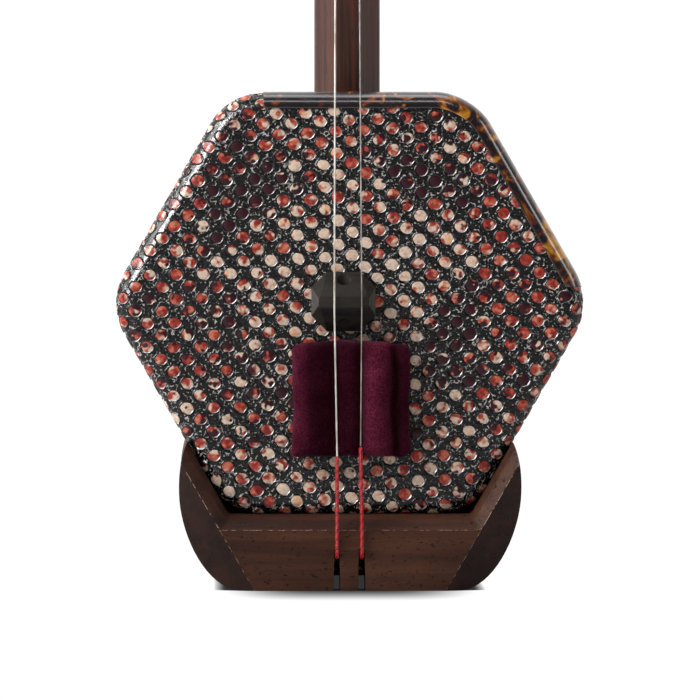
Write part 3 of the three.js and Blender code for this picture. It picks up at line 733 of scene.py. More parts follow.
def scale_material(colours: SkinColours) -> Material:
    """A python's scales: cream, with patches of red and maroon that differ from scale to scale.

    Each scale carries an attribute whose red channel is its redness, green its darkness, blue a number of
    its own that moves its pattern, and alpha the painted highlight on its lip.

    Args:
        colours: The skin's colours.

    Returns:
        The material.
    """
    material, nodes, links = empty_material("python_scale")

    place = nodes.new("ShaderNodeTexCoord")
    place.label = "Place on the instrument"
    character = nodes.new("ShaderNodeAttribute")
    character.label = "What this scale is like"
    character.attribute_name = "scale_tone_and_painted_highlight"
    parts = nodes.new("ShaderNodeSeparateColor")
    parts.label = "Redness, darkness, own number"
    own = nodes.new("ShaderNodeMath")
    own.label = "Own place in the pattern"
    own.operation = "MULTIPLY"

    red_cloud = nodes.new("ShaderNodeTexNoise")
    red_cloud.label = "Red patches"
    red_cloud.noise_dimensions = "4D"
    red_sum = nodes.new("ShaderNodeMath")
    red_sum.label = "More red on a redder scale"
    red_sum.operation = "ADD"
    red_mask = nodes.new("ShaderNodeValToRGB")
    red_mask.label = "Edge of the red"
    red_mask.color_ramp.elements[0].position = 0.91
    red_mask.color_ramp.elements[1].position = 1.0
    red_half = nodes.new("ShaderNodeMath")
    red_half.label = "Into the ramp's range"
    red_half.operation = "MULTIPLY"

    dark_shift = nodes.new("ShaderNodeMath")
    dark_shift.label = "Another part of the pattern"
    dark_shift.operation = "ADD"
    dark_cloud = nodes.new("ShaderNodeTexNoise")
    dark_cloud.label = "Dark patches"
    dark_cloud.noise_dimensions = "4D"
    dark_sum = nodes.new("ShaderNodeMath")
    dark_sum.label = "More dark on a darker scale"
    dark_sum.operation = "ADD"
    dark_mask = nodes.new("ShaderNodeValToRGB")
    dark_mask.label = "Edge of the dark"
    dark_mask.color_ramp.elements[0].position = 0.94
    dark_mask.color_ramp.elements[1].position = 1.0

    amber_cloud = nodes.new("ShaderNodeTexNoise")
    amber_cloud.label = "Amber tinge"
    amber_mask = nodes.new("ShaderNodeValToRGB")
    amber_mask.label = "Where it is amber"
    amber_mask.color_ramp.elements[0].position = 0.60
    amber_mask.color_ramp.elements[1].position = 0.74
    amber_mask.color_ramp.elements[1].color = (0.7, 0.7, 0.7, 1.0)
    mottle = nodes.new("ShaderNodeTexNoise")
    mottle.label = "Mottle"
    mottle_range = nodes.new("ShaderNodeValToRGB")
    mottle_range.label = "Strength of the mottle"
    mottle_range.color_ramp.elements[0].position = 0.3
    mottle_range.color_ramp.elements[0].color = (0.66, 0.56, 0.52, 1.0)
    mottle_range.color_ramp.elements[1].position = 0.6

    red_shade = nodes.new("ShaderNodeTexNoise")
    red_shade.label = "Shades of red"
    with_amber = nodes.new("ShaderNodeMix")
    with_amber.label = "Cream and amber"
    with_amber.data_type = "RGBA"
    red_tone = nodes.new("ShaderNodeValToRGB")
    red_tone.label = "Deep red to salmon"
    red_tone.color_ramp.elements[0].position = 0.36
    red_tone.color_ramp.elements[0].color = rgba(colours.deep_red)
    red_tone.color_ramp.elements[1].position = 0.68
    red_tone.color_ramp.elements[1].color = rgba(colours.salmon)
    red_middle = red_tone.color_ramp.elements.new(0.50)
    red_middle.color = rgba(colours.red)
    with_red = nodes.new("ShaderNodeMix")
    with_red.label = "Red over cream"
    with_red.data_type = "RGBA"
    with_dark = nodes.new("ShaderNodeMix")
    with_dark.label = "Maroon over all"
    with_dark.data_type = "RGBA"
    mottled = nodes.new("ShaderNodeMix")
    mottled.label = "Mottled"
    mottled.data_type = "RGBA"
    mottled.blend_type = "MULTIPLY"
    surface = nodes.new("ShaderNodeBsdfPrincipled")
    surface.label = "Scale"
    output = nodes.new("ShaderNodeOutputMaterial")
    output.label = "Surface"

    for node, socket, value in (
        (own, 1, 40.0), (red_cloud, "Scale", 620.0), (red_cloud, "Detail", 1.5), (red_half, 1, 0.95),
        (dark_shift, 1, 17.0), (dark_cloud, "Scale", 560.0), (dark_cloud, "Detail", 1.0),
        (amber_cloud, "Scale", 300.0), (mottle, "Scale", 1500.0), (mottle, "Detail", 2.0),
        (red_shade, "Scale", 800.0), (red_shade, "Detail", 2.0), (with_amber, "A", rgba(colours.cream)),
        (with_amber, "B", rgba(colours.amber)), (with_dark, "B", rgba(colours.maroon)),
        (mottled, "Factor", 0.8), (surface, "Roughness", 0.26), (surface, "Specular IOR Level", 0.25),
    ):
        node.inputs[socket].default_value = value

    links.new(character.outputs["Color"], parts.inputs["Color"])
    links.new(parts.outputs["Blue"], own.inputs[0])
    links.new(own.outputs["Value"], red_cloud.inputs["W"])
    links.new(own.outputs["Value"], dark_shift.inputs[0])
    links.new(dark_shift.outputs["Value"], dark_cloud.inputs["W"])
    for cloud in (red_cloud, dark_cloud, amber_cloud, mottle, red_shade):
        links.new(place.outputs["Object"], cloud.inputs["Vector"])
    links.new(red_cloud.outputs["Fac"], red_sum.inputs[0])
    links.new(parts.outputs["Red"], red_sum.inputs[1])
    links.new(red_sum.outputs["Value"], red_half.inputs[0])
    links.new(red_half.outputs["Value"], red_mask.inputs["Fac"])
    links.new(dark_cloud.outputs["Fac"], dark_sum.inputs[0])
    links.new(parts.outputs["Green"], dark_sum.inputs[1])
    links.new(dark_sum.outputs["Value"], dark_mask.inputs["Fac"])
    links.new(amber_cloud.outputs["Fac"], amber_mask.inputs["Fac"])
    links.new(mottle.outputs["Fac"], mottle_range.inputs["Fac"])
    links.new(amber_mask.outputs["Color"], with_amber.inputs["Factor"])
    links.new(with_amber.outputs["Result"], with_red.inputs["A"])
    links.new(red_shade.outputs["Fac"], red_tone.inputs["Fac"])
    links.new(red_tone.outputs["Color"], with_red.inputs["B"])
    links.new(red_mask.outputs["Color"], with_red.inputs["Factor"])
    links.new(with_red.outputs["Result"], with_dark.inputs["A"])
    links.new(dark_mask.outputs["Color"], with_dark.inputs["Factor"])
    links.new(with_dark.outputs["Result"], mottled.inputs["A"])
    links.new(mottle_range.outputs["Color"], mottled.inputs["B"])
    links.new(mottled.outputs["Result"], surface.inputs["Base Color"])
    links.new(surface.outputs["BSDF"], output.inputs["Surface"])

    lay_out(
        nodes,
        {
            "Red": [red_cloud, red_sum, red_half, red_mask, red_shade, red_tone, with_red],
            "Dark": [dark_shift, dark_cloud, dark_sum, dark_mask, with_dark],
            "Cream": [amber_cloud, amber_mask, with_amber],
            "Mottle": [mottle, mottle_range, mottled],
        },
    )
    return material


@dataclass
class PythonSkin(Assembly):
    """The stretched skin and its scales.

    Attributes:
        edge: Radius that the skin bends over at the front edge.
        corner: Radius of the hexagon's corners, seen from the front.
        thickness: Of the skin.
        column_pitch: Distance between neighbouring columns of scales.
        row_pitch: Distance between the scales of one column.
        half_width: Of a scale.
        half_height: Of a scale.
        clusters: Soft patches of skin as (x, z, reach, redness, darkness), from the middle.
    """

    edge: float = 3.0 * MM
    corner: float = 12.8 * MM
    thickness: float = 0.6 * MM
    column_pitch: float = 2.82 * MM
    row_pitch: float = 5.07 * MM
    half_width: float = 1.34 * MM
    half_height: float = 1.27 * MM
    guard_left: float = -16.5 * MM
    guard_end: float = 5.0 * MM
    colours: SkinColours = field(default_factory=SkinColours)
    clusters: tuple[tuple[float, float, float, float, float], ...] = (
        (-20, 27, 8, 0.055, 0.3),
        (-27, 14, 7, 0.028, 0.26),
        (14, 29, 9, 0.028, 0.28),
        (22, -4, 7, 0.028, 0.28),
        (20, -13, 6, 0, 0.22),
        (-22, -10, 7, 0.028, 0.24),
        (-14, -18, 6, 0, 0.26),
        (-40, 2, 12, 0.121, 0.02),
        (40, 4, 12, 0.132, 0),
        (34, -12, 9, 0.121, 0.02),
        (30, 20, 9, 0.11, 0.02),
        (-34, -10, 8, 0.11, 0.02),
        (-2, 14, 9, -0.088, -0.3),
        (10, 9, 9, -0.066, -0.2),
        (-14, 4, 7, -0.088, -0.2),
        (16, -1, 5, -0.099, -0.2),
        (0, -38, 12, -0.055, -0.1),
        (-30, 24, 6, 0.088, 0.05),
        (-6, 36, 7, 0.028, -0.1),
        (0, 26, 5, 0, 0.1),
    )

    @property
    def core(self) -> float:
        """Apothem of the sharp hexagon that the rounded outline is drawn round."""
        return self.layout.apothem - self.corner

    def nearest(self, x: float, z: float) -> Triple:
        """The nearest place on the sharp inner hexagon to a place outside it.

        Args:
            x: Place across the face, from its middle.
            z: Place up the face, from its middle.

        Returns:
            The nearest place's x and z, and how far off it is, or 0 from inside.
        """
        reach = self.core / HEX_COS
        corners = [(reach * math.cos(k * math.pi / 3), reach * math.sin(k * math.pi / 3)) for k in range(7)]
        best = (x, z, 0.0)
        if max(x * math.cos(a) + z * math.sin(a) for a in self.normals()) <= self.core:
            return best
        shortest = math.inf
        for (ax, az), (bx, bz) in zip(corners, corners[1:]):
            share = ((x - ax) * (bx - ax) + (z - az) * (bz - az)) / ((bx - ax) ** 2 + (bz - az) ** 2)
            share = min(max(share, 0.0), 1.0)
            nx, nz = ax + (bx - ax) * share, az + (bz - az) * share
            distance = math.hypot(x - nx, z - nz)
            if distance < shortest:
                shortest = distance
                best = (nx, nz, distance)
        return best

    @staticmethod
    def normals() -> list[float]:
        """The directions, in radians, that the six flats face."""
        return [math.pi / 6 + k * math.pi / 3 for k in range(6)]

    def beyond_face(self, x: float, z: float) -> float:
        """How far a flat place lies past the flat part of the face, along the skin."""
        return self.nearest(x, z)[2] - (self.corner - self.edge)

    def fold(self, x: float, z: float, height: float) -> Vector:
        """Lays a place of the flat skin on the box, over its rounded front edge.

        Args:
            x: Place across the flat skin, from its middle.
            z: Place up the flat skin, from its middle.
            height: How far the point stands off the skin.

        Returns:
            The point, in the frame.
        """
        near_x, near_z, distance = self.nearest(x, z)
        along = distance - (self.corner - self.edge)
        middle_z = self.layout.axis_z
        if along <= 0:
            return Vector((x, self.layout.face_y - height, middle_z + z))
        out_x, out_z = (x - near_x) / distance, (z - near_z) / distance
        quarter = self.edge * math.pi / 2
        angle = min(along / self.edge, math.pi / 2)
        reach = self.corner - self.edge + (self.edge + height) * math.sin(angle)
        y = self.layout.face_y + self.edge - (self.edge + height) * math.cos(angle)
        y += max(along - quarter, 0.0)
        return Vector((near_x + out_x * reach, y, middle_z + near_z + out_z * reach))

    def build_sheet(self) -> Object:
        """The skin itself: a flat face, a round edge and a turned-back hem."""
        bm = bmesh.new()
        layout = self.layout
        face = hexagon(bm, layout.apothem, self.corner, layout.face_y, layout.axis_z, ROUND_STEPS)
        ends, _ = extrude(bm, [face], Vector((0, layout.hem_y - layout.face_y, 0)))
        bmesh.ops.delete(bm, geom=ends, context="FACES")
        rim = [e for e in bm.edges if all(abs(v.co.y - layout.face_y) < 1e-6 for v in e.verts)]
        bevel_edges(bm, rim, self.edge, 8)
        face_front(bm)
        sheet = object_from(bm, "python_skin_sheet")
        wall = sheet.modifiers.new("Thickness", "SOLIDIFY")
        wall.thickness = self.thickness
        wall.offset = -1.0
        apply_modifiers(sheet)
        return sheet

    def wrinkle(self, x: float, z: float) -> float:
        """How far the net stands off the skin at a flat place, in metres."""
        place = Vector((x / MM, z / MM * 1.1, 0.0))
        near = noise.voronoi(place * 1.45)[0]
        fold = min((near[1] - near[0]) * 2.2, 1.0)
        grain = noise.noise(place * 2.9)
        ridge = 1 - abs(noise.noise(place * 0.9 + Vector((7, 3, 1)))) * 2.4
        return (0.005 + 0.045 * fold + 0.03 * grain + 0.02 * ridge) * MM

    def build_net(self, pitch: float = 0.34 * MM) -> Object:
        """The wrinkled surface between the scales, as a fine grid folded over the box.

        Args:
            pitch: Distance between neighbouring points of the grid.

        Returns:
            The net.
        """
        reach = self.layout.apothem / HEX_COS + 11 * MM
        steps = round(2 * reach / pitch)
        bm = bmesh.new()
        bmesh.ops.create_grid(bm, x_segments=steps, y_segments=steps, size=reach)
        limit = self.edge * math.pi / 2 + (self.layout.hem_y - self.layout.face_y - self.edge) - 0.4 * MM
        outside = [v for v in bm.verts if self.beyond_face(v.co.x, v.co.y) > limit]
        bmesh.ops.delete(bm, geom=outside, context="VERTS")
        for v in bm.verts:
            x, z = v.co.x, v.co.y
            height = -0.1 * MM if v.is_boundary else self.wrinkle(x, z)
            v.co = self.fold(x, z, height)
        face_front(bm)
        return object_from(bm, "python_skin_net")

    def character(self, x: float, z: float, rng: random.Random) -> Triple:
        """What a scale is like: its redness, its darkness and its own number.

        Args:
            x: Place of the scale across the flat skin, from its middle.
            z: Place of the scale up the flat skin, from its middle.
            rng: The source of chance.

        Returns:
            The colour that the scale's material reads.
        """
        red, dark = 0.515, 0.335
        for centre_x, centre_z, reach, redder, darker in self.clusters:
            distance = math.hypot(x / MM - centre_x, z / MM - centre_z) / reach
            share = math.exp(-distance * distance)
            red += redder * share
            dark += darker * share
        red += rng.gauss(0.0, 0.085)
        dark += rng.gauss(0.0, 0.09)
        return max(red, 0.05), max(dark, 0.0), rng.random()

    def places(self, rng: random.Random) -> list[Triple]:
        """The lattice of scales, as flat places and the turn of each scale.

        Args:
            rng: The source of chance.

        Returns:
            A list of (x, z, turn).
        """
        found = []
        reach = self.layout.apothem + 12 * MM
        columns = int(reach / self.column_pitch) + 6
        rows = int(reach / self.row_pitch) + 3
        limit = self.edge * math.pi / 2 + (self.layout.hem_y - self.layout.face_y - self.edge) - 1.5 * MM
        for column in range(-columns, columns + 1):
            for row in range(-rows, rows + 1):
                u = column * self.column_pitch
                v = (row + 0.5 * (column % 2)) * self.row_pitch
                x = u + 0.9 * MM * math.sin(v / (17 * MM)) - 0.02 * v
                z = v + 1.1 * MM * math.sin(u / (21 * MM)) + 0.012 * u
                above = max(z / MM - 10, 0)
                x *= 1 + 0.0022 * above
                z -= 0.0022 * above**2 * MM
                x += rng.uniform(-0.12, 0.12) * MM
                z += rng.uniform(-0.12, 0.12) * MM
                turn = rng.uniform(-0.14, 0.14)
                if self.beyond_face(x, z) > limit:
                    continue
                hidden = x > self.guard_left and z > self.guard_end and self.beyond_face(x, z) > 0.3 * MM
                if not hidden:
                    found.append((x, z, turn))
        return found

    @staticmethod
    def scale_pattern() -> Mesh:
        """One scale of unit size: X and Y lie on the skin and Z is its height in millimetres.

        Returns:
            A low dome in a shallow moat, with a raised lip of skin round it.
        """
        bm = bmesh.new()
        bmesh.ops.create_circle(bm, cap_ends=True, cap_tris=True, radius=0.5, segments=12)
        for v in bm.verts:
            v.co.z = 0.29 if v.co.length < 0.1 else 0.26
        rim = [e for e in bm.edges if e.is_boundary]
        for share, lift in ((0.88, 0.22), (0.94, 0.10), (1.10, 0.21), (1.30, 0.0)):
            made = bmesh.ops.extrude_edge_only(bm, edges=rim)["geom"]
            fresh = set(verts_of(made))
            rim = [e for e in made if isinstance(e, BMEdge) and set(e.verts) <= fresh]
            for v in fresh:
                flat = v.co.xy.normalized() * share
                v.co = (flat.x, flat.y, lift)
        face_outwards(bm)
        for face in bm.faces:
            across = face.calc_center_median().xy.length
            face.material_index = 0 if across < 0.90 else (2 if across < 1.1 else 1)
        pattern = bpy.data.meshes.new("scale_pattern")
        bm.to_mesh(pattern)
        bm.free()
        return pattern

    def build_scales(self) -> Object:
        """The scales, each a copy of one pattern laid on the skin at its own place.

        Returns:
            The scales as one piece.
        """
        rng = random.Random(88)
        pattern = self.scale_pattern()
        bm = bmesh.new()
        layer = bm.verts.layers.float_color.new("scale_tone_and_painted_highlight")
        for x, z, turn in self.places(rng):
            colour = self.character(x, z, rng)
            size = rng.uniform(0.93, 1.05)
            uneven, lean, shine = rng.uniform(0.0, 0.09), rng.uniform(-1.2, 1.2), rng.uniform(0.25, 1.0)
            bm.from_mesh(pattern)
            bm.verts.ensure_lookup_table()
            for v in bm.verts[-len(pattern.vertices):]:
                flat, lift = v.co.xy, v.co.z
                angle = math.atan2(flat.y, flat.x)
                hexed = size * (
                    1 + 0.025 * math.cos(6 * angle) + uneven * math.cos(2 * angle + lean)
                    + 0.5 * uneven * math.cos(3 * angle - 2 * lean)
                )
                if lift > 0.1 and flat.length > 0.9:
                    lift += 0.05 * max(0.0, math.cos(angle + math.pi / 4))
                across = flat.x * self.half_width * hexed
                up = flat.y * self.half_height * hexed
                spun_x = across * math.cos(turn) - up * math.sin(turn)
                spun_z = across * math.sin(turn) + up * math.cos(turn)
                v.co = self.fold(x + spun_x, z + spun_z, lift * MM)
                # The alpha is a painted highlight: a silvery line on the lower right of each lip, the side
                # turned to the light from the upper left.
                on_lip = 0.9 < flat.length < 1.2
                painted_lip_highlight = max(0.0, math.cos(angle + turn + 0.87) - 0.70) / 0.24 if on_lip else 0.0
                v[layer] = (*colour, min(painted_lip_highlight, 1.0) * shine)
        bpy.data.meshes.remove(pattern)
        face_outwards(bm)
        return object_from(bm, "python_skin_scales")

    def build(self) -> None:
        """Makes the skin and its scales, and hands them over."""
        net = net_material(self.colours)
        self.finish(self.build_sheet(), "python_skin", net, ["python_skin"], smooth=50)
        self.finish(self.build_net(), "python_skin", net, smooth=50)
        scales = self.build_scales()
        scales.data.materials.append(scale_material(self.colours))
        scales.data.materials.append(net)
        scales.data.materials.append(lip_and_painted_highlight_material(self.colours))
        self.finish(scales, "python_skin", None, smooth=38)


@dataclass(frozen=True)
class MottledFinish:
    """A finish whose colour varies in patches and whose surface has a fine relief.

    Attributes:
        stops: Colours of the patches, each after its place from 0 to 1.
        patches: Patches per metre along X, Y and Z.
        ridges: Ridges per metre along X, Y and Z.
        roughness: Of the hollows and the tops of the ridges.
        relief: Strength of the ridges' bump.
        detail: How finely the patches are broken up.
        swirl: How far they are drawn out of shape.
        metallic: 1 for a metal.
        specular: Strength of the plain reflection.
        coat: Share of clear gloss on top.
        sheen: Share of soft sheen.
        to_right: What the later colours gain towards the instrument's right.
    """

    stops: tuple[tuple[float, Triple], ...]
    patches: Triple
    ridges: Triple
    roughness: tuple[float, float]
    relief: float = 0.3
    detail: float = 3.0
    swirl: float = 0.0
    metallic: float = 0.0
    specular: float = 0.5
    coat: float = 0.0
    sheen: float = 0.0
    to_right: float = 0.0


FIBRES = (6000.0, 6000.0, 6000.0)
TARNISH = (260.0, 260.0, 260.0)


class Finish(Enum):
    """The metals, threads, bone and tortoiseshell of the instrument."""

    STEEL = MottledFinish(
        ((0.35, (0.26, 0.23, 0.20)), (0.60, (0.50, 0.47, 0.44))),
        TARNISH, (1500.0, 1500.0, 40.0), (0.50, 0.34), detail=4.0, metallic=1.0,
    )
    WOUND = MottledFinish(
        ((0.35, (0.42, 0.37, 0.31)), (0.60, (0.80, 0.76, 0.70))),
        TARNISH, (1500.0, 1500.0, 9000.0), (0.56, 0.40), detail=4.0, metallic=1.0,
    )
    BRASS = MottledFinish(
        ((0.35, (0.30, 0.19, 0.08)), (0.60, (0.72, 0.50, 0.20))),
        TARNISH, (1500.0, 1500.0, 40.0), (0.46, 0.30), detail=4.0, metallic=1.0,
    )
    SILK = MottledFinish(
        ((0.35, (0.24, 0.001, 0.005)), (0.62, (0.62, 0.006, 0.016))), FIBRES, FIBRES, (0.36, 0.36), 0.4,
    )
    SILK_SHADED = MottledFinish(
        ((0.35, (0.08, 0.001, 0.003)), (0.62, (0.28, 0.003, 0.009))), FIBRES, FIBRES, (0.45, 0.45), 0.4,
    )
    LOOP_THREAD = MottledFinish(
        ((0.35, (0.012, 0.004, 0.004)), (0.62, (0.055, 0.012, 0.012))),
        FIBRES, FIBRES, (0.6, 0.6), 0.4, sheen=0.3,
    )
    BONE = MottledFinish(
        ((0.32, (0.48, 0.38, 0.24)), (0.50, (0.80, 0.74, 0.60))),
        (1400.0, 160.0, 1400.0), (1400.0, 160.0, 1400.0), (0.36, 0.30), 0.08,
    )
    TORTOISESHELL = MottledFinish(
        ((0.55, (0.010, 0.007, 0.008)), (0.63, (0.11, 0.024, 0.006)), (0.73, (0.42, 0.19, 0.016))),
        (240.0, 240.0, 240.0), (420.0, 420.0, 420.0), (0.12, 0.34), 0.0,
        detail=2.5, swirl=1.2, specular=0.6, coat=0.5, to_right=0.085,
    )


def mottled_material(name: str, finish: MottledFinish) -> Material:
    """A surface with patches of colour and a fine relief of its own.

    Args:
        name: The material's name.
        finish: Its colours and surface.

    Returns:
        The material.
    """
    material, nodes, links = empty_material(name)
    place = nodes.new("ShaderNodeTexCoord")
    place.label = "Place on the instrument"
    patch_space = nodes.new("ShaderNodeMapping")
    patch_space.label = "Size and direction of the patches"
    patches = nodes.new("ShaderNodeTexNoise")
    patches.label = "Patches"
    axes = nodes.new("ShaderNodeSeparateXYZ")
    axes.label = "Place across the instrument"
    right = nodes.new("ShaderNodeMapRange")
    right.label = "More of the later colours to the right"
    amount = nodes.new("ShaderNodeMath")
    amount.label = "Patches and their amount"
    amount.operation = "ADD"
    colour = nodes.new("ShaderNodeValToRGB")
    colour.label = "Colours of the patches"
    for index, (share, tint) in enumerate(finish.stops):
        stops = colour.color_ramp.elements
        stop = stops[0] if index == 0 else (stops[1] if index == 1 else stops.new(share))
        stop.position, stop.color = share, rgba(tint)
    ridge_space = nodes.new("ShaderNodeMapping")
    ridge_space.label = "Size and direction of the ridges"
    ridges = nodes.new("ShaderNodeTexNoise")
    ridges.label = "Fine ridges, fibres or scuffs"
    rough = nodes.new("ShaderNodeMapRange")
    rough.label = "Hollows and tops differ in gloss"
    rough.inputs["To Min"].default_value, rough.inputs["To Max"].default_value = finish.roughness
    bump = nodes.new("ShaderNodeBump")
    bump.label = "Raised ridges"
    surface = nodes.new("ShaderNodeBsdfPrincipled")
    surface.label = "Surface of this finish"
    output = nodes.new("ShaderNodeOutputMaterial")
    output.label = "Surface"

    for node, socket, value in (
        (patch_space, "Scale", finish.patches), (patches, "Scale", 1.0),
        (patches, "Detail", finish.detail), (patches, "Distortion", finish.swirl),
        (right, "From Min", 0.016), (right, "From Max", 0.032), (right, "To Max", finish.to_right),
        (ridge_space, "Scale", finish.ridges), (ridges, "Scale", 1.0), (ridges, "Detail", 3.0),
        (bump, "Strength", finish.relief), (bump, "Distance", 0.00004),
        (surface, "Metallic", finish.metallic), (surface, "Specular IOR Level", finish.specular),
        (surface, "Coat Weight", finish.coat), (surface, "Coat Roughness", 0.08),
        (surface, "Sheen Weight", finish.sheen), (surface, "Sheen Roughness", 0.4),
    ):
        node.inputs[socket].default_value = value

    links.new(place.outputs["Object"], patch_space.inputs["Vector"])
    links.new(patch_space.outputs["Vector"], patches.inputs["Vector"])
    links.new(place.outputs["Object"], axes.inputs["Vector"])
    links.new(axes.outputs["X"], right.inputs["Value"])
    links.new(patches.outputs["Fac"], amount.inputs[0])
    links.new(right.outputs["Result"], amount.inputs[1])
    links.new(amount.outputs["Value"], colour.inputs["Fac"])
    links.new(colour.outputs["Color"], surface.inputs["Base Color"])
    links.new(place.outputs["Object"], ridge_space.inputs["Vector"])
    links.new(ridge_space.outputs["Vector"], ridges.inputs["Vector"])
    links.new(ridges.outputs["Fac"], rough.inputs["Value"])
    links.new(rough.outputs["Result"], surface.inputs["Roughness"])
    links.new(ridges.outputs["Fac"], bump.inputs["Height"])
    links.new(bump.outputs["Normal"], surface.inputs["Normal"])
    links.new(surface.outputs["BSDF"], output.inputs["Surface"])
    lay_out(
        nodes,
        {
            "Colour": [patch_space, patches, axes, right, amount, colour],
            "Relief": [ridge_space, ridges, rough, bump],
        },
    )
    return material


def velvet_material() -> Material:
    """Burgundy velvet: a soft pile with a pale sheen, uneven tone, and painted light and shade across the
    pad, darker in the string grooves and the fold and lighter on the bulge beside the outer string.

    Returns:
        The material.
    """
    material, nodes, links = empty_material("burgundy_velvet")
    place = nodes.new("ShaderNodeTexCoord")
    place.label = "Place on the instrument"
    pile = nodes.new("ShaderNodeTexNoise")
    pile.label = "Pile"
    brushed = nodes.new("ShaderNodeTexNoise")
    brushed.label = "Brushed patches"
    pile_colour = nodes.new("ShaderNodeValToRGB")
    pile_colour.label = "Shadow to crest of the pile"
    pile_colour.color_ramp.elements[0].position = 0.32
    pile_colour.color_ramp.elements[0].color = (0.026, 0.002, 0.007, 1.0)
    pile_colour.color_ramp.elements[1].position = 0.68
    pile_colour.color_ramp.elements[1].color = (0.108, 0.016, 0.036, 1.0)
    axes = nodes.new("ShaderNodeSeparateXYZ")
    axes.label = "Place across the pad"
    across = nodes.new("ShaderNodeMapRange")
    across.label = "From its left edge to its right"
    nap_and_painted_shading = nodes.new("ShaderNodeValToRGB")
    # Partly the pile's brushed direction and partly painted light and shade: dark in the grooves under the
    # strings and in the fold, bright on the bulge right of the outer string.
    nap_and_painted_shading.label = "Which way the pile is brushed"
    nap_and_painted_shading.color_ramp.interpolation = "B_SPLINE"
    for index, (share, light) in enumerate(
        ((0.0, 0.95), (0.09, 0.9), (0.15, 0.30), (0.33, 0.20), (0.37, 0.45), (0.50, 0.5),
         (0.585, 0.25), (0.63, 1.5), (0.78, 1.6), (0.84, 0.3), (0.93, 0.4), (1.0, 0.6))
    ):
        stop = nap_and_painted_shading.color_ramp.elements[index] if index < 2 else nap_and_painted_shading.color_ramp.elements.new(share)
        stop.position = share
        stop.color = (light / 2, light / 2, light / 2, 1.0)
    with_painted_shading = nodes.new("ShaderNodeMix")
    with_painted_shading.label = "Brushed light and dark"
    with_painted_shading.data_type = "RGBA"
    with_painted_shading.blend_type = "MULTIPLY"
    lifted = nodes.new("ShaderNodeMix")
    lifted.label = "To full strength"
    lifted.data_type = "RGBA"
    lifted.blend_type = "ADD"
    brushed_tone = nodes.new("ShaderNodeValToRGB")
    brushed_tone.label = "Strength of the patches"
    brushed_tone.color_ramp.elements[0].position = 0.3
    brushed_tone.color_ramp.elements[0].color = (0.55, 0.5, 0.52, 1.0)
    brushed_tone.color_ramp.elements[1].position = 0.7
    tone = nodes.new("ShaderNodeMix")
    tone.label = "Uneven tone"
    tone.data_type = "RGBA"
    tone.blend_type = "MULTIPLY"
    bump = nodes.new("ShaderNodeBump")
    bump.label = "Tufts"
    surface = nodes.new("ShaderNodeBsdfPrincipled")
    surface.label = "Velvet"
    output = nodes.new("ShaderNodeOutputMaterial")
    output.label = "Surface"

    for node, socket, value in (
        (pile, "Scale", 2600.0), (pile, "Detail", 4.0), (pile, "Roughness", 0.7),
        (brushed, "Scale", 210.0), (brushed, "Detail", 3.0), (across, "From Min", -0.0122),
        (across, "From Max", 0.0126), (with_painted_shading, "Factor", 1.0), (lifted, "Factor", 1.0),
        (tone, "Factor", 1.0), (bump, "Strength", 0.8), (bump, "Distance", 0.00025),
        (surface, "Roughness", 0.95), (surface, "Specular IOR Level", 0.0),
        (surface, "Sheen Weight", 0.10), (surface, "Sheen Roughness", 0.4),
        (surface, "Sheen Tint", (0.80, 0.35, 0.50, 1.0)),
    ):
        node.inputs[socket].default_value = value

    links.new(place.outputs["Object"], pile.inputs["Vector"])
    links.new(place.outputs["Object"], brushed.inputs["Vector"])
    links.new(pile.outputs["Fac"], pile_colour.inputs["Fac"])
    links.new(brushed.outputs["Fac"], brushed_tone.inputs["Fac"])
    links.new(pile_colour.outputs["Color"], tone.inputs["A"])
    links.new(brushed_tone.outputs["Color"], tone.inputs["B"])
    links.new(place.outputs["Object"], axes.inputs["Vector"])
    links.new(axes.outputs["X"], across.inputs["Value"])
    links.new(across.outputs["Result"], nap_and_painted_shading.inputs["Fac"])
    links.new(tone.outputs["Result"], with_painted_shading.inputs["A"])
    links.new(nap_and_painted_shading.outputs["Color"], with_painted_shading.inputs["B"])
    links.new(with_painted_shading.outputs["Result"], lifted.inputs["A"])
    links.new(with_painted_shading.outputs["Result"], lifted.inputs["B"])
    links.new(lifted.outputs["Result"], surface.inputs["Base Color"])
    links.new(pile.outputs["Fac"], bump.inputs["Height"])
    links.new(bump.outputs["Normal"], surface.inputs["Normal"])
    links.new(surface.outputs["BSDF"], output.inputs["Surface"])
    lay_out(
        nodes,
        {
            "Pile": [pile, pile_colour, bump],
            "Tone": [brushed, brushed_tone, tone],
            "Nap": [axes, across, nap_and_painted_shading, with_painted_shading, lifted],
        },
    )
    return material


# ---- Sound box ----


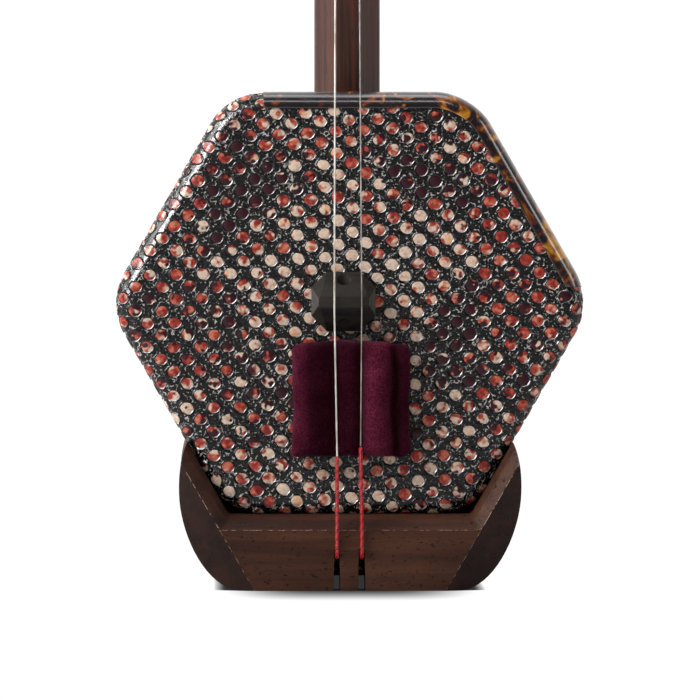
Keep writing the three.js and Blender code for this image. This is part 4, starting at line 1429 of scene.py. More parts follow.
@dataclass
class SoundBox(Assembly):
    """The six staves, the rear window with its rim, and the bow guard.

    Attributes:
        wood: How far the wood lies inside the skin's outside.
        thickness: Of a stave.
        waist: Apothem of the wood at its narrowest.
        waist_y: Where that is, behind the neck's axis.
        rear: Apothem of the wood at the rear.
        joint: Half the width of the fine line between two staves.
    """

    wood: float = 0.9 * MM
    thickness: float = 7.0 * MM
    waist: float = 37.8 * MM
    waist_y: float = 42.0 * MM
    rear: float = 39.5 * MM
    corner_share: float = 0.27
    joint: float = 0.06 * MM

    def apothem_at(self, y: float) -> float:
        """Apothem of the wood at a place along the box."""
        layout = self.layout
        front = layout.apothem - self.wood
        waist_y = layout.neck_y + self.waist_y
        if y < waist_y:
            share = min((waist_y - y) / (waist_y - layout.hem_y), 1.0)
            return self.waist + (front - self.waist) * share * share
        share = (y - waist_y) / (layout.box_rear_y - waist_y)
        return self.waist + (self.rear - self.waist) * share * share

    def build_stave(self, index: int, name: str) -> Object:
        """One stave: a sixth of the box's wall, drawn along the box's waist.

        Args:
            index: Which stave, counted from the upper right towards the top.
            name: The piece's name.

        Returns:
            The stave.
        """
        layout = self.layout
        first = layout.face_y + 1.4 * MM
        apothem = self.apothem_at(first)
        bm = bmesh.new()
        for size in (apothem, apothem - self.thickness):
            corner = size * self.corner_share
            face = hexagon(bm, size, corner, first, layout.axis_z, 8)
            bmesh.ops.delete(bm, geom=[face], context="FACES_ONLY")
        bmesh.ops.bridge_loops(bm, edges=bm.edges[:])
        middle = Vector((0, first, layout.axis_z))
        turn = math.radians(30 + 60 * index)
        for side in (-1, 1):
            across = turn + side * math.pi / 6
            normal = Vector((-math.sin(across), 0, math.cos(across))) * side
            cut_plane(bm, middle - normal * self.joint, normal)
        faces = bm.faces[:]
        stations = 26
        step = (layout.box_rear_y - first) / stations
        here, y = apothem, first
        for _ in range(stations):
            faces, verts = extrude(bm, faces, Vector((0, step, 0)))
            y += step
            scale = self.apothem_at(y) / here
            here *= scale
            bmesh.ops.scale(bm, vec=(scale, 1.0, scale), space=Matrix.Translation(-middle), verts=verts)
        face_outwards(bm)
        bevel_edges(bm, sharp_edges(bm, 50), 0.25 * MM, 2)
        return object_from(bm, name)

    def build_rim(self) -> Object:
        """The binding round the rear edge of the box."""
        low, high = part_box("rear_rim")
        outer = (high.z - low.z) / 2
        bm = bmesh.new()
        for apothem, corner in ((outer, outer * self.corner_share), (30.5 * MM, 6.0 * MM)):
            face = hexagon(bm, apothem, corner, low.y - 0.2 * MM, self.layout.axis_z, 8)
            bmesh.ops.delete(bm, geom=[face], context="FACES_ONLY")
        faces = bmesh.ops.bridge_loops(bm, edges=bm.edges[:])["faces"]
        extrude(bm, faces, Vector((0, high.y - low.y + 0.2 * MM, 0)))
        face_outwards(bm)
        bevel_edges(bm, sharp_edges(bm, 50), 0.7 * MM, 4)
        return object_from(bm, "rear_rim_binding")

    def build_window(self) -> Object:
        """The pierced rear window, with its edges eased."""
        bm = copy_of_node("rear_sound_window")
        bevel_edges(bm, sharp_edges(bm, 40), 0.45 * MM, 2)
        return object_from(bm, "rear_sound_window_fretwork")

    def build_guard(self, clearance: float = 0.12 * MM, sheet: float = 0.38 * MM) -> Object:
        """The thin sheet bent over the front edge from the top to the upper right.

        Args:
            clearance: How far its inside stands off the skin.
            sheet: Its thickness.

        Returns:
            The guard.
        """
        layout = self.layout
        low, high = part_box("bow_guard")
        reach = clearance + sheet
        edge = 3.0 * MM + reach
        bm = bmesh.new()
        front = layout.face_y - reach
        face = hexagon(bm, layout.apothem + reach, 12.8 * MM + reach, front, layout.axis_z, ROUND_STEPS)
        ends, _ = extrude(bm, [face], Vector((0, high.y - front, 0)))
        bmesh.ops.delete(bm, geom=ends, context="FACES")
        rim = [e for e in bm.edges if all(abs(v.co.y - front) < 1e-6 for v in e.verts)]
        bevel_edges(bm, rim, edge, 10)
        flat = [f for f in bm.faces if abs(f.normal.y) > 0.999 and f.calc_area() > 1e-4]
        bmesh.ops.delete(bm, geom=flat, context="FACES")
        cut_plane(bm, Vector((low.x, 0, 0)), Vector((-1, 0, 0)))
        cut_plane(bm, Vector((0, 0, low.z)), Vector((0, 0, -1)))
        for v in bm.verts:
            past = v.co.y - layout.hem_y
            if past > -1 * MM:
                inward = min((past + 1 * MM) / (4 * MM), 1.0)
                wall = self.apothem_at(max(v.co.y, layout.hem_y)) + reach
                scale = 1 + (wall / (layout.apothem + reach) - 1) * inward
                v.co.x *= scale
                v.co.z = layout.axis_z + (v.co.z - layout.axis_z) * scale
        face_outwards(bm)
        highest = max(bm.faces, key=lambda item: item.calc_center_median().z)
        if highest.normal.z < 0:
            bmesh.ops.reverse_faces(bm, faces=bm.faces[:])
        guard = object_from(bm, "bow_guard_sheet")
        wall = guard.modifiers.new("Sheet", "SOLIDIFY")
        wall.thickness = sheet
        wall.offset = -1.0
        rounded = guard.modifiers.new("Eased edges", "BEVEL")
        rounded.width = 0.1 * MM
        rounded.segments = 2
        rounded.angle_limit = math.radians(50)
        apply_modifiers(guard)
        return guard

    def build(self) -> None:
        """Makes the sound box's pieces and hands them over."""
        wood = wood_material("rosewood_box", Wood.BOX.value)
        for index, place in enumerate(
            ("upper_right", "top", "upper_left", "lower_left", "bottom", "lower_right")
        ):
            node = f"box_stave_{place}"
            self.finish(self.build_stave(index, f"stave_{place}"), "rosewood_box", wood, [node])
        self.finish(self.build_rim(), "rosewood_box", wood, ["rear_rim"])
        self.finish(self.build_window(), "rosewood_box", wood, ["rear_sound_window"])
        shell = mottled_material("tortoiseshell", Finish.TORTOISESHELL.value)
        self.finish(self.build_guard(), "tortoiseshell", shell, ["bow_guard"])


# ---- Neck, head and pegs ----


@dataclass
class Neck(Assembly):
    """The neck, its bent head and the inlay.

    Attributes:
        chamfer: Width of the neck's four long chamfers, across each side.
        tenon: Radius of the round part inside the sound box.
        shoulder: Height where the tenon becomes the full neck.
    """

    chamfer: float = 4.45 * MM
    tenon: float = 5.5 * MM
    shoulder: float = 98.0 * MM

    def section(self, bm: BMesh, z: float) -> BMFace:
        """Adds the neck's flat, eight-sided section.

        Args:
            bm: The mesh.
            z: Height of the section.

        Returns:
            The face.
        """
        low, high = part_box("neck")
        size = (high.x - low.x, high.y - low.y)
        place = Matrix.Translation((0, self.layout.neck_y, z)) @ Matrix.Diagonal((*size, 1, 1))
        corners = bmesh.ops.create_grid(bm, x_segments=1, y_segments=1, size=0.5, matrix=place)["verts"]
        return cut_corners(bm, corners, self.chamfer)

    def build_neck(self) -> Object:
        """The straight neck with its tenon.

        Returns:
            The neck.
        """
        low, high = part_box("neck")
        bm = bmesh.new()
        face = self.section(bm, self.shoulder)
        extrude(bm, [face], Vector((0, 0, high.z - self.shoulder)))
        face_outwards(bm)
        long_edges = [e for e in sharp_edges(bm, 20) if abs(e.verts[0].co.z - e.verts[1].co.z) > 0.1]
        bevel_edges(bm, long_edges, 0.55 * MM, 3)
        tenon = bmesh.ops.create_cone(
            bm,
            cap_ends=True,
            radius1=self.tenon,
            radius2=self.tenon,
            depth=self.shoulder + 1 * MM - low.z,
            segments=32,
            matrix=Matrix.Translation((0, self.layout.neck_y, (low.z + self.shoulder + 1 * MM) / 2)),
        )["verts"]
        lowest = [v for v in tenon if v.co.z < low.z + 1e-5]
        bevel_edges(bm, [e for e in bm.edges if all(v in lowest for v in e.verts)], 1 * MM)
        return object_from(bm, "neck_stick")

    def build_softened(self, node: str, name: str, width: float, segments: int = 3) -> Object:
        """A fitting that keeps its CAD shape, with its edges eased.

        Args:
            node: The CAD node.
            name: The piece's name.
            width: How far the easing reaches from each edge.
            segments: How many faces it has across it.

        Returns:
            The piece.
        """
        bm = copy_of_node(node)
        bevel_edges(bm, sharp_edges(bm, 25), width, segments)
        return object_from(bm, name)

    def build(self) -> None:
        """Makes the neck's pieces and hands them over."""
        wood = wood_material("rosewood_neck", Wood.NECK.value)
        self.finish(self.build_neck(), "rosewood_neck", wood, ["neck"])
        head = self.build_softened("neck_head", "neck_head_volute", 0.6 * MM)
        self.finish(head, "rosewood_neck", wood, ["neck_head"])
        inlay = self.build_softened("head_inlay", "head_inlay_plate", 0.3 * MM)
        self.finish(inlay, "bone", mottled_material("polished_bone", Finish.BONE.value), ["head_inlay"])


@dataclass
class Peg(Assembly):
    """A tuning peg: a plain shank, a fluted handle, a bone button and its winding of string.

    Attributes:
        height: Of the peg's axis.
        string_radius: Of the string wound on it.
        turns: Of the winding.
        flutes: Round the handle.
    """

    height: float = 0.0
    string_radius: float = 0.2 * MM
    turns: int = 10
    flutes: int = 8

    def build_peg(self) -> Object:
        """The turned and fluted wood.

        Returns:
            The peg.
        """
        outline = (
            (0.0, -27.0), (2.3, -27.0), (2.9, -26.5), (3.05, -25.6), (3.3, -10.0), (4.0, 6.0),
            (4.5, 22.0), (4.9, 38.0), (5.4, 40.2), (6.6, 41.4), (7.3, 42.6), (7.0, 44.2),
            (7.6, 46.0), (8.6, 50.0), (9.0, 56.0), (8.9, 64.0), (8.3, 74.0), (7.6, 84.0),
            (7.2, 93.0), (7.4, 99.0), (7.9, 104.0), (7.8, 108.5), (6.9, 111.0), (5.0, 112.0), (0.0, 112.0),
        )
        bm = bmesh.new()
        turned(bm, [(radius * MM, y * MM) for radius, y in outline], 64)
        for v in bm.verts:
            radius = math.hypot(v.co.x, v.co.z)
            y = v.co.y / MM
            if radius > 1 * MM and 46.5 < y < 108:
                fade = min((y - 46.5) / 5.0, (108 - y) / 5.0, 1.0)
                wave = abs(math.cos(self.flutes * math.atan2(v.co.z, v.co.x) / 2))
                scale = 1 - 0.13 * fade * (1 - wave ** 0.7)
                v.co.x *= scale
                v.co.z *= scale
        bmesh.ops.translate(bm, vec=(0, self.layout.neck_y, self.height), verts=bm.verts[:])
        return object_from(bm, f"{self.body}_wood")

    def build_button(self) -> Object:
        """The bone button at the handle's end."""
        outline = (
            (0.0, 112.2), (3.2, 112.2), (3.5, 112.8), (3.0, 113.8), (3.3, 114.6), (5.0, 116.0),
            (5.4, 118.0), (5.1, 120.0), (4.2, 121.6), (2.4, 122.7), (0.0, 123.0),
        )
        bm = bmesh.new()
        turned(bm, [(radius * MM, y * MM) for radius, y in outline], 40)
        bmesh.ops.translate(bm, vec=(0, self.layout.neck_y, self.height), verts=bm.verts[:])
        return object_from(bm, f"{self.body}_bone_button")

    def build_winding(self) -> Object:
        """The turns of string round the shank.

        Returns:
            The winding.
        """
        node = self.body.replace("_peg", "_string_coil")
        low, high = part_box(node)
        radius = (high.z - low.z) / 2 - self.string_radius
        width = high.y - low.y - 2 * self.string_radius
        bm = bmesh.new()
        start = Vector((radius, low.y + self.string_radius, self.height))
        section = bmesh.ops.create_circle(
            bm,
            cap_ends=True,
            radius=self.string_radius,
            segments=10,
            matrix=Matrix.Translation(start),
        )["verts"]
        steps = 30 * self.turns
        bmesh.ops.spin(
            bm,
            geom=section[0].link_faces[:] + list(section[0].link_faces[0].edges) + section,
            cent=(0, 0, self.height),
            axis=(0, 1, 0),
            dvec=(0, width / steps, 0),
            angle=math.tau * self.turns,
            steps=steps,
            use_duplicate=False,
        )
        face_outwards(bm)
        return object_from(bm, f"{self.body}_string_winding")

    def build(self) -> None:
        """Makes the peg's pieces and hands them over."""
        wood = bpy.data.materials.get("rosewood_peg") or wood_material("rosewood_peg", Wood.PEG.value)
        steel = bpy.data.materials["string_steel"]
        self.finish(self.build_peg(), "rosewood_neck", wood, [self.body], smooth=50)
        bone = bpy.data.materials["polished_bone"]
        self.finish(self.build_button(), "bone", bone, [f"{self.body}_button"])
        coil = self.body.replace("_peg", "_string_coil")
        self.finish(self.build_winding(), "string_steel", steel, [coil], smooth=60)


# ---- Strings, silks, bridge and pad ----


def smooth_route(points: Sequence[Vector], steps: int = 6) -> list[Vector]:
    """Lays a Catmull-Rom line through points.

    Args:
        points: The points.
        steps: Places per stretch.

    Returns:
        The places along the line.
    """
    ends = [points[0] * 2 - points[1], *points, points[-1] * 2 - points[-2]]
    route = []
    for a, b, c, d in zip(ends, ends[1:], ends[2:], ends[3:]):
        for step in range(steps):
            t = step / steps
            bend, swing = 2 * a - 5 * b + 4 * c - d, 3 * b - a - 3 * c + d
            route.append(0.5 * (2 * b + (c - a) * t + bend * t * t + swing * t**3))
    return [*route, points[-1]]


def round_cord(name: str, routes: Sequence[Sequence[Vector]], radius: float, sides: int = 3) -> Object:
    """Round cords along routes, as one mesh.

    Args:
        name: The piece's name.
        routes: The middle line of each cord.
        radius: Of the cords.
        sides: The curve's bevel resolution.

    Returns:
        The cords.
    """
    curve = bpy.data.curves.new(name, "CURVE")
    curve.dimensions = "3D"
    curve.bevel_depth = radius
    curve.bevel_resolution = sides
    curve.use_fill_caps = True
    for route in routes:
        line = curve.splines.new("POLY")
        line.points.add(len(route) - 1)
        for point, place in zip(line.points, route):
            point.co = (*place, 1.0)
    holder = bpy.data.objects.new(name, curve)
    show(holder)
    mesh = bpy.data.meshes.new_from_object(holder.evaluated_get(bpy.context.evaluated_depsgraph_get()))
    bpy.data.objects.remove(holder)
    bpy.data.curves.remove(curve)
    mesh.name = name
    made = bpy.data.objects.new(name, mesh)
    show(made)
    return made


def twisted_strands(
    route: Sequence[Vector], radius: float, lay: float, strands: int = 3
) -> list[list[Vector]]:
    """The middle lines of strands twisted round a route.

    Args:
        route: The cord's middle line, with its places close together.
        radius: Of the strands' helix.
        lay: Length of one full turn.
        strands: How many there are.

    Returns:
        One line for each strand.
    """
    lines: list[list[Vector]] = [[] for _ in range(strands)]
    travelled = 0.0
    side = Vector((1, 0, 0))
    for index, place in enumerate(route):
        ahead = route[min(index + 1, len(route) - 1)] - route[max(index - 1, 0)]
        ahead.normalize()
        side = (side - ahead * side.dot(ahead)).normalized()
        if index:
            travelled += (place - route[index - 1]).length
        for strand, line in enumerate(lines):
            angle = math.tau * (travelled / lay + strand / strands)
            line.append(place + radius * (side * math.cos(angle) + ahead.cross(side) * math.sin(angle)))
    return lines


@dataclass
class Strings(Assembly):
    """The two strings and the silks that anchor them, routed through the loop that holds them to the neck.

    Attributes:
        pad_y: Place of the strings where they leave the base.
        bridge_y: Place of the strings on the bridge.
        bridge_z: Height of the bridge's middle.
        slot_z: Height where the silks enter the base's slots.
        loop_y: Place of the strings in the loop.
        loop_z: Height of the loop's middle.
        strand: Radius of a silk strand.
        twist: Distance of a strand's middle from the silk's middle.
    """

    pad_y: float = -47.75
    bridge_y: float = -51.5
    bridge_z: float = 60.5
    slot_z: float = 13.0
    loop_y: float = -22.0
    loop_z: float = 447.0
    strand: float = 0.20
    twist: float = 0.22

    def string_y(self, z: float) -> float:
        """Place of a string in front of the neck's axis, below the bridge."""
        share = max(0.0, min((z - self.slot_z) / (self.bridge_z - self.slot_z), 1.0))
        return self.pad_y + (self.bridge_y - self.pad_y) * share

    def at(self, x: float, y: float, z: float) -> Vector:
        """A place given in millimetres from the neck's axis."""
        return Vector((x * MM, self.layout.neck_y + y * MM, z * MM))

    def build_string(
        self, name: str, radius: float, foot: tuple[float, float], nut_x: float, bridge_x: float, top: Triple
    ) -> Object:
        """One string, from the silk over the bridge and through the loop to its peg.

        Args:
            name: The piece's name.
            radius: Of the string.
            foot: The x and z of its lower end.
            nut_x: Its x in the loop.
            bridge_x: Its x on the bridge.
            top: Where it meets the winding on its peg.

        Returns:
            The string.
        """
        rest = self.at(bridge_x, self.bridge_y, self.bridge_z)
        nut = self.at(nut_x, self.loop_y, self.loop_z)
        stops = [
            self.at(foot[0], self.string_y(foot[1]), foot[1]),
            self.at((foot[0] + bridge_x) / 2, self.string_y((foot[1] + 58) / 2), (foot[1] + 58) / 2),
            self.at(bridge_x, self.string_y(58.6), 58.6),
            rest,
            self.at(bridge_x, self.bridge_y + 0.13, self.bridge_z + 2),
            rest.lerp(nut, 0.5),
            self.at(nut_x, self.loop_y - 0.15, self.loop_z - 2),
            nut,
            self.at(nut_x, self.loop_y + 0.06, self.loop_z + 2),
            self.at(*top),
        ]
        return round_cord(name, [stops], radius * MM, 3)

    def build_silk(self, name: str, pad_x: float, slot_x: float, top: float) -> Object:
        """A twisted silk, from the string down behind the base's lip to its pin.

        Args:
            name: The piece's name.
            pad_x: Its x at the upper end.
            slot_x: Its x in the base's slot.
            top: Height of its upper end.

        Returns:
            The silk.
        """
        stops = [(pad_x, self.string_y(top), top)]
        for share in (0.25, 0.5, 0.75, 1.0):
            z = top + (self.slot_z - top) * share
            stops.append((pad_x + (slot_x - pad_x) * share, self.string_y(z), z))
        stops += [(slot_x, y, z) for y, z in ((-47.75, 10.5), (-47.75, 8.6), (-47.25, 7.5), (-46.15, 7.0))]
        for share in (0.25, 0.5, 0.75, 1.0):
            stops.append((slot_x - 0.76 * share, -46.15 + 17.25 * share, 7.0 - 0.6 * share))
        route = smooth_route([self.at(*stop) for stop in stops], 30)
        strands = twisted_strands(route, self.twist * MM, 1.8 * MM)
        silk = round_cord(name, strands, self.strand * MM, 2)
        # One strand of three takes the darker silk: painted shade that makes the twist show.
        third = len(silk.data.polygons) // 3
        for index, face in enumerate(silk.data.polygons):
            face.material_index = int(index >= 2 * third)
        return silk

    def build(self) -> None:
        """Makes the strings and silks and hands them over."""
        steel = mottled_material("string_steel", Finish.STEEL.value)
        wound = mottled_material("wound_string", Finish.WOUND.value)
        silk = mottled_material("red_silk", Finish.SILK.value)
        shaded = mottled_material("red_silk_shaded", Finish.SILK_SHADED.value)
        inner = self.build_string("inner_string_wound", 0.19, (-2.8, 28.2), -1.9, -3.4, (-5.2, -18, 745))
        outer = self.build_string("outer_string_plain", 0.13, (2.1, 30.3), -0.1, 2.3, (4.4, -15, 650))
        self.finish(inner, "string_steel", wound, ["inner_string"], smooth=60)
        self.finish(outer, "string_steel", steel, ["outer_string"], smooth=60)
        for name, pad_x, slot_x, top in (
            ("inner_string_silk", -2.8, -2.8, 27.9),
            ("outer_string_silk", 2.1, 2.4, 30.0),
        ):
            strands = self.build_silk(f"{name}_strands", pad_x, slot_x, top)
            strands.data.materials.append(silk)
            strands.data.materials.append(shaded)
            self.finish(strands, "red_silk", None, [name], smooth=60)


@dataclass
class Qianjin(Assembly):
    """The loop of thread that draws the strings towards the neck.

    Attributes:
        thread: Radius of the thread.
        turns: How many turns lie on each other.
    """

    body: str = "qianjin"
    thread: float = 0.36 * MM
    turns: int = 8

    def build(self) -> None:
        """Winds the loop from the CAD part's own outline and hands it over."""
        low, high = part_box("qianjin_loop")
        centre = Vector((0, self.layout.neck_y, 0))
        nose = (low.y - centre.y) / MM + 0.36
        # The outline of one turn round the neck's chamfered section and the strings, in mm.
        outline = [
            (-2.0, nose + 0.15), (-3.4, nose + 1.6), (-5.4, -11.6), (-7.5, -6.4), (-7.85, -3.5),
            (-7.85, 3.7), (-7.2, 5.3), (-3.9, 8.5), (-2.2, 9.05), (2.2, 9.05), (3.9, 8.5), (7.2, 5.3),
            (7.85, 3.7), (7.85, -3.5), (7.4, -6.2), (4.6, -12.0), (1.8, nose + 1.6),
            (0.3, nose + 0.15), (-0.9, nose - 0.05),
        ]
        around = [Vector((x * MM, centre.y + y * MM, 0)) for x, y in (*outline, outline[0])]
        turn = smooth_route(around, 4)[:-1]
        rise = (high.z - low.z - 2 * self.thread) / (self.turns - 1)
        route = []
        for index in range(self.turns * len(turn)):
            level = index / len(turn)
            height = low.z + self.thread + min(level, self.turns - 1) * rise
            wobble = 1 + 0.004 * math.sin(level * 9.1)
            place = turn[index % len(turn)]
            route.append(Vector((place.x * wobble, place.y, height)))
        thread = mottled_material("qianjin_thread", Finish.LOOP_THREAD.value)
        winding = round_cord("qianjin_winding", [route], self.thread, 2)
        self.finish(winding, "qianjin_thread", thread, ["qianjin_loop"], smooth=60)


@dataclass
class Bridge(Assembly):
    """The small dark bridge that carries the strings' load to the skin.

    Attributes:
        easing: How far its edges are rounded.
    """

    easing: float = 0.28 * MM

    def build_bridge(self) -> Object:
        """The eight-sided foot with slopes up to a narrow ridge and one hole, its edges eased."""
        bm = copy_of_node("bridge")
        bevel_edges(bm, sharp_edges(bm, 18), self.easing, 3)
        for face in bm.faces:
            # Faces turned to the sides take the lighter grey of painted light.
            face.material_index = int(abs(face.normal.x) > 0.85)
        return object_from(bm, "bridge_block")

    def build(self) -> None:
        """Makes the bridge and hands it over."""
        bridge = self.build_bridge()
        bridge.data.materials.append(wood_material("bridge_wood", Wood.BRIDGE.value))
        bridge.data.materials.append(wood_material("bridge_end_painted_light", Wood.BRIDGE_END_PAINTED_LIGHT.value))
        self.finish(bridge, "bridge_wood", None, ["bridge"], smooth=25)


@dataclass
class DamperPad(Assembly):
    """The folded velvet pad between the strings and the skin.

    Attributes:
        strings: Places of the strings that press into it, across its face.
    """

    strings: tuple[float, float] = (-2.8, 2.15)

    def swell(self, x: float, z: float) -> float:
        """How far the pad's front stands out of its middle plane, in millimetres.

        Args:
            x: Place across the pad.
            z: Place up the pad.

        Returns:
            The height; negative is pressed in.
        """
        height = 0.0
        for place, depth, width in ((self.strings[0], 1.15, 0.75), (self.strings[1], 1.25, 0.8)):
            height -= depth * math.exp(-(((x - place) / width) ** 2))
        height += 0.8 * math.exp(-(((x - 5.4) / 2.2) ** 2))
        height += 0.25 * math.exp(-(((x + 7.0) / 3.2) ** 2))
        fold = 9.2 + 0.3 * math.sin(z * 0.45)
        height -= 2.6 * math.exp(-(((x - fold) / 1.05) ** 2))
        height -= 0.9 / (1 + math.exp(-(x - 9.6) * 3))
        height += 0.35 * noise.noise(Vector((x * 0.22, z * 0.2, 3.1)))
        height += 0.12 * noise.noise(Vector((x * 0.9, z * 0.7, 8.4)))
        return height

    def build_pad(self) -> Object:
        """A soft block with crowned edges, pressed in under the strings.

        Returns:
            The pad.
        """
        low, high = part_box("damper_pad")
        size = high - low
        bm = bmesh.new()
        bmesh.ops.create_cube(
            bm, size=1.0, matrix=Matrix.Translation((low + high) / 2) @ Matrix.Diagonal((*size, 1))
        )
        bevel_edges(bm, bm.edges[:], 1.5 * MM, 3)
        for axis, count in ((0, 44), (2, 40), (1, 6)):
            for cut in range(1, count):
                place = low.copy()
                place[axis] = low[axis] + size[axis] * cut / count
                normal = Vector((0, 0, 0))
                normal[axis] = 1.0
                cut_plane(bm, place, normal, clear=False, dist=1e-6)
        middle = (low + high) / 2
        for v in bm.verts:
            across = (v.co.x - middle.x) / (size.x / 2)
            up = (v.co.z - middle.z) / (size.z / 2)
            front = (high.y - v.co.y) / size.y
            x, z = v.co.x / MM, v.co.z / MM
            string_y = -47.75 - 3.75 * (z - 13.0) / 47.5
            lean = (self.layout.neck_y + (string_y + 0.55) * MM) - low.y
            inset = (1 - max(abs(across), abs(up)) ** 6) ** 0.6 if max(abs(across), abs(up)) < 1 else 0.0
            bulge = lean - self.swell(x, z) * MM * inset + 0.9 * MM * (1 - inset)
            v.co.y += max(front - 0.35, 0) / 0.65 * bulge
            ripple = noise.noise(Vector((x * 0.3, front * 2.0, z * 0.3)))
            tuft = noise.noise(Vector((x * 1.3, front * 4.0, z * 1.3)))
            v.co.x += (0.45 * ripple + 0.22 * tuft) * abs(across) ** 3 * MM
            v.co.x -= 0.3 * across * (1 - up * up) * MM
            v.co.z += (0.35 * ripple + 0.2 * tuft) * abs(up) ** 3 * MM
            if up > 0:
                v.co.z -= 1.1 * up**2 * (across + 0.05) ** 2 * MM
            v.co.y = min(v.co.y, high.y)
        bmesh.ops.smooth_vert(
            bm, verts=bm.verts[:], factor=0.35, use_axis_x=True, use_axis_y=True, use_axis_z=True
        )
        face_outwards(bm)
        return object_from(bm, "damper_pad_velvet")

    def build(self) -> None:
        """Makes the pad and hands it over."""
        pad = self.finish(self.build_pad(), "burgundy_velvet", velvet_material(), ["damper_pad"], smooth=60)


# ---- Base ----


@dataclass
class Base(Assembly):
    """The carved base that the sound box sits in, with its screw, washer and pins.

    Attributes:
        front: Place of its front, from the neck's axis, in millimetres.
        rear: Place of its rear, likewise.
        foot: Half the width of its flat foot.
        wide: Half its greatest width.
        arm: The x and z of the tip of each arm.
        lip: Width of the slope that the front lip is cut back by.
    """

    front: float = -47.0
    rear: float = 50.0
    foot: float = 23.2
    wide: float = 35.8
    arm: tuple[float, float] = (34.3, 30.8)
    lip: float = 3.2

    @staticmethod
    def bend(a: Vector, b: Vector, c: Vector, d: Vector, steps: int) -> list[Vector]:
        """Places on one Bezier stretch, without its first point."""
        made = []
        for step in range(1, steps + 1):
            t = step / steps
            s = 1 - t
            made.append(s**3 * a + 3 * s * s * t * b + 3 * s * t * t * c + t**3 * d)
        return made

    def outline(self) -> list[tuple[float, float]]:
        """The block's outline seen from the front, in millimetres, from the left foot round.

        Returns:
            Its (x, z) places.
        """
        foot, wide = self.foot, self.wide
        right = [Vector((foot, 0))]
        right += self.bend(
            right[0], Vector((foot + 7, 0.4)), Vector((wide - 0.6, 11)), Vector((wide, 19)), 16
        )
        right += self.bend(
            right[-1], Vector((wide + 0.3, 23.5)), Vector((wide - 0.2, 27.5)), Vector(self.arm), 10
        )
        places = [(p.x, p.y) for p in right]
        return [*places, *((-x, z) for x, z in reversed(places))]

    def cut_to_facets(self, bm: BMesh) -> None:
        """Slopes the block's two front corners back, outside a line at 60 degrees."""
        start_x, start_z = 20.9 * MM, 1.5 * MM
        front = self.layout.neck_y + self.front * MM
        for side in (-1, 1):
            outward = Vector((side * HEX_COS, 0, -0.5))
            slope = math.radians(30)
            normal = (outward * math.sin(slope) + Vector((0, -1, 0)) * math.cos(slope)).normalized()
            cut_plane(bm, Vector((side * start_x, front, start_z)), normal)
            rim = [e for e in bm.edges if e.is_boundary]
            bmesh.ops.holes_fill(bm, edges=rim, sides=0)

    def build_block(self) -> Object:
        """The block: outline, facets, cradle, recess, slots and lip.

        Returns:
            The block.
        """
        layout = self.layout
        front = layout.neck_y + self.front * MM
        bm = bmesh.new()
        verts = [bm.verts.new((x * MM, front, z * MM)) for x, z in self.outline()]
        face = bm.faces.new(verts)
        extrude(bm, [face], Vector((0, (self.rear - self.front) * MM, 0)))
        face_outwards(bm)
        self.cut_to_facets(bm)
        face_outwards(bm)
        block = object_from(bm, "base_block_carved")
        cutters = [self.cradle_cutter(), self.recess_cutter()]
        cutters += [self.slot_cutter(-2.8, 0.75, 1.15), self.slot_cutter(2.4, 0.8, 1.35)]
        cutters += [self.hole_cutter()]
        carve(block, cutters)
        bm = bmesh.new()
        bm.from_mesh(block.data)
        bmesh.ops.remove_doubles(bm, verts=bm.verts[:], dist=2e-6)
        bmesh.ops.dissolve_limit(bm, angle_limit=math.radians(0.5), verts=bm.verts[:], edges=bm.edges[:])
        wear = bm.loops.layers.float_color.new("worn_edge")
        bevel_edges(bm, sharp_edges(bm, 24), 0.46 * MM, 2)
        for part in bm.faces:
            worn = part.calc_area() < 60e-6 and self.near_ridge(part.calc_center_median())
            centre = part.calc_center_median()
            outward = Vector((math.copysign(HEX_COS, centre.x), 0, -0.5))
            # The sloped front corner facets take a darker wood.
            part.material_index = int(part.normal.y < -0.3 and part.normal.dot(outward) > 0.3)
            for loop in part.loops:
                loop[wear] = (1.0, 1.0, 1.0, 1.0) if worn else (0.0, 0.0, 0.0, 1.0)
        bm.to_mesh(block.data)
        bm.free()
        return block

    def near_ridge(self, place: Vector) -> bool:
        """Whether a place lies on the ridge between the front and the lip's slope."""
        layout = self.layout
        x, z = abs(place.x), layout.axis_z - place.z
        away = max(z, x * HEX_COS + z * 0.5) - layout.apothem
        return abs(away - self.lip * MM) < 0.55 * MM and place.y < layout.neck_y + (self.front + 1.0) * MM

    def cradle_cutter(self) -> Object:
        """The seat for the sound box, which widens towards the front lip."""
        layout = self.layout
        box = SoundBox(layout)
        bm = bmesh.new()
        first = layout.neck_y + (self.front - 6) * MM
        clear = 0.12 * MM

        def seat(y: float) -> float:
            """Apothem of the seat at a place along the box."""
            from_lip = (layout.neck_y + (self.front + self.lip) * MM) - y
            wall = layout.apothem if y < layout.hem_y + 1 * MM else box.apothem_at(y)
            return wall + clear + max(from_lip, 0.0)

        y = first
        size = seat(y)
        face = hexagon(bm, size, 1.6 * MM, y, layout.axis_z, 3)
        faces = [face]
        middle = Vector((0, 0, layout.axis_z))
        for step in range(1, 41):
            target = first + (self.rear - self.front + 12) * MM * step / 40
            faces, verts = extrude(bm, faces, Vector((0, target - y, 0)))
            scale = seat(target) / size
            size, y = seat(target), target
            bmesh.ops.scale(bm, vec=(scale, 1, scale), space=Matrix.Translation(-middle), verts=verts)
        face_outwards(bm)
        return object_from(bm, "cradle_cutter")

    def box_cutter(self, low: Vector, high: Vector) -> BMesh:
        """A plain block to cut with, given in millimetres from the neck's axis."""
        bm = bmesh.new()
        middle = (low + high) / 2
        size = high - low
        place = Matrix.Translation((middle.x * MM, self.layout.neck_y + middle.y * MM, middle.z * MM))
        bmesh.ops.create_cube(bm, size=1.0, matrix=place @ Matrix.Diagonal((*(size * MM), 1)))
        return bm

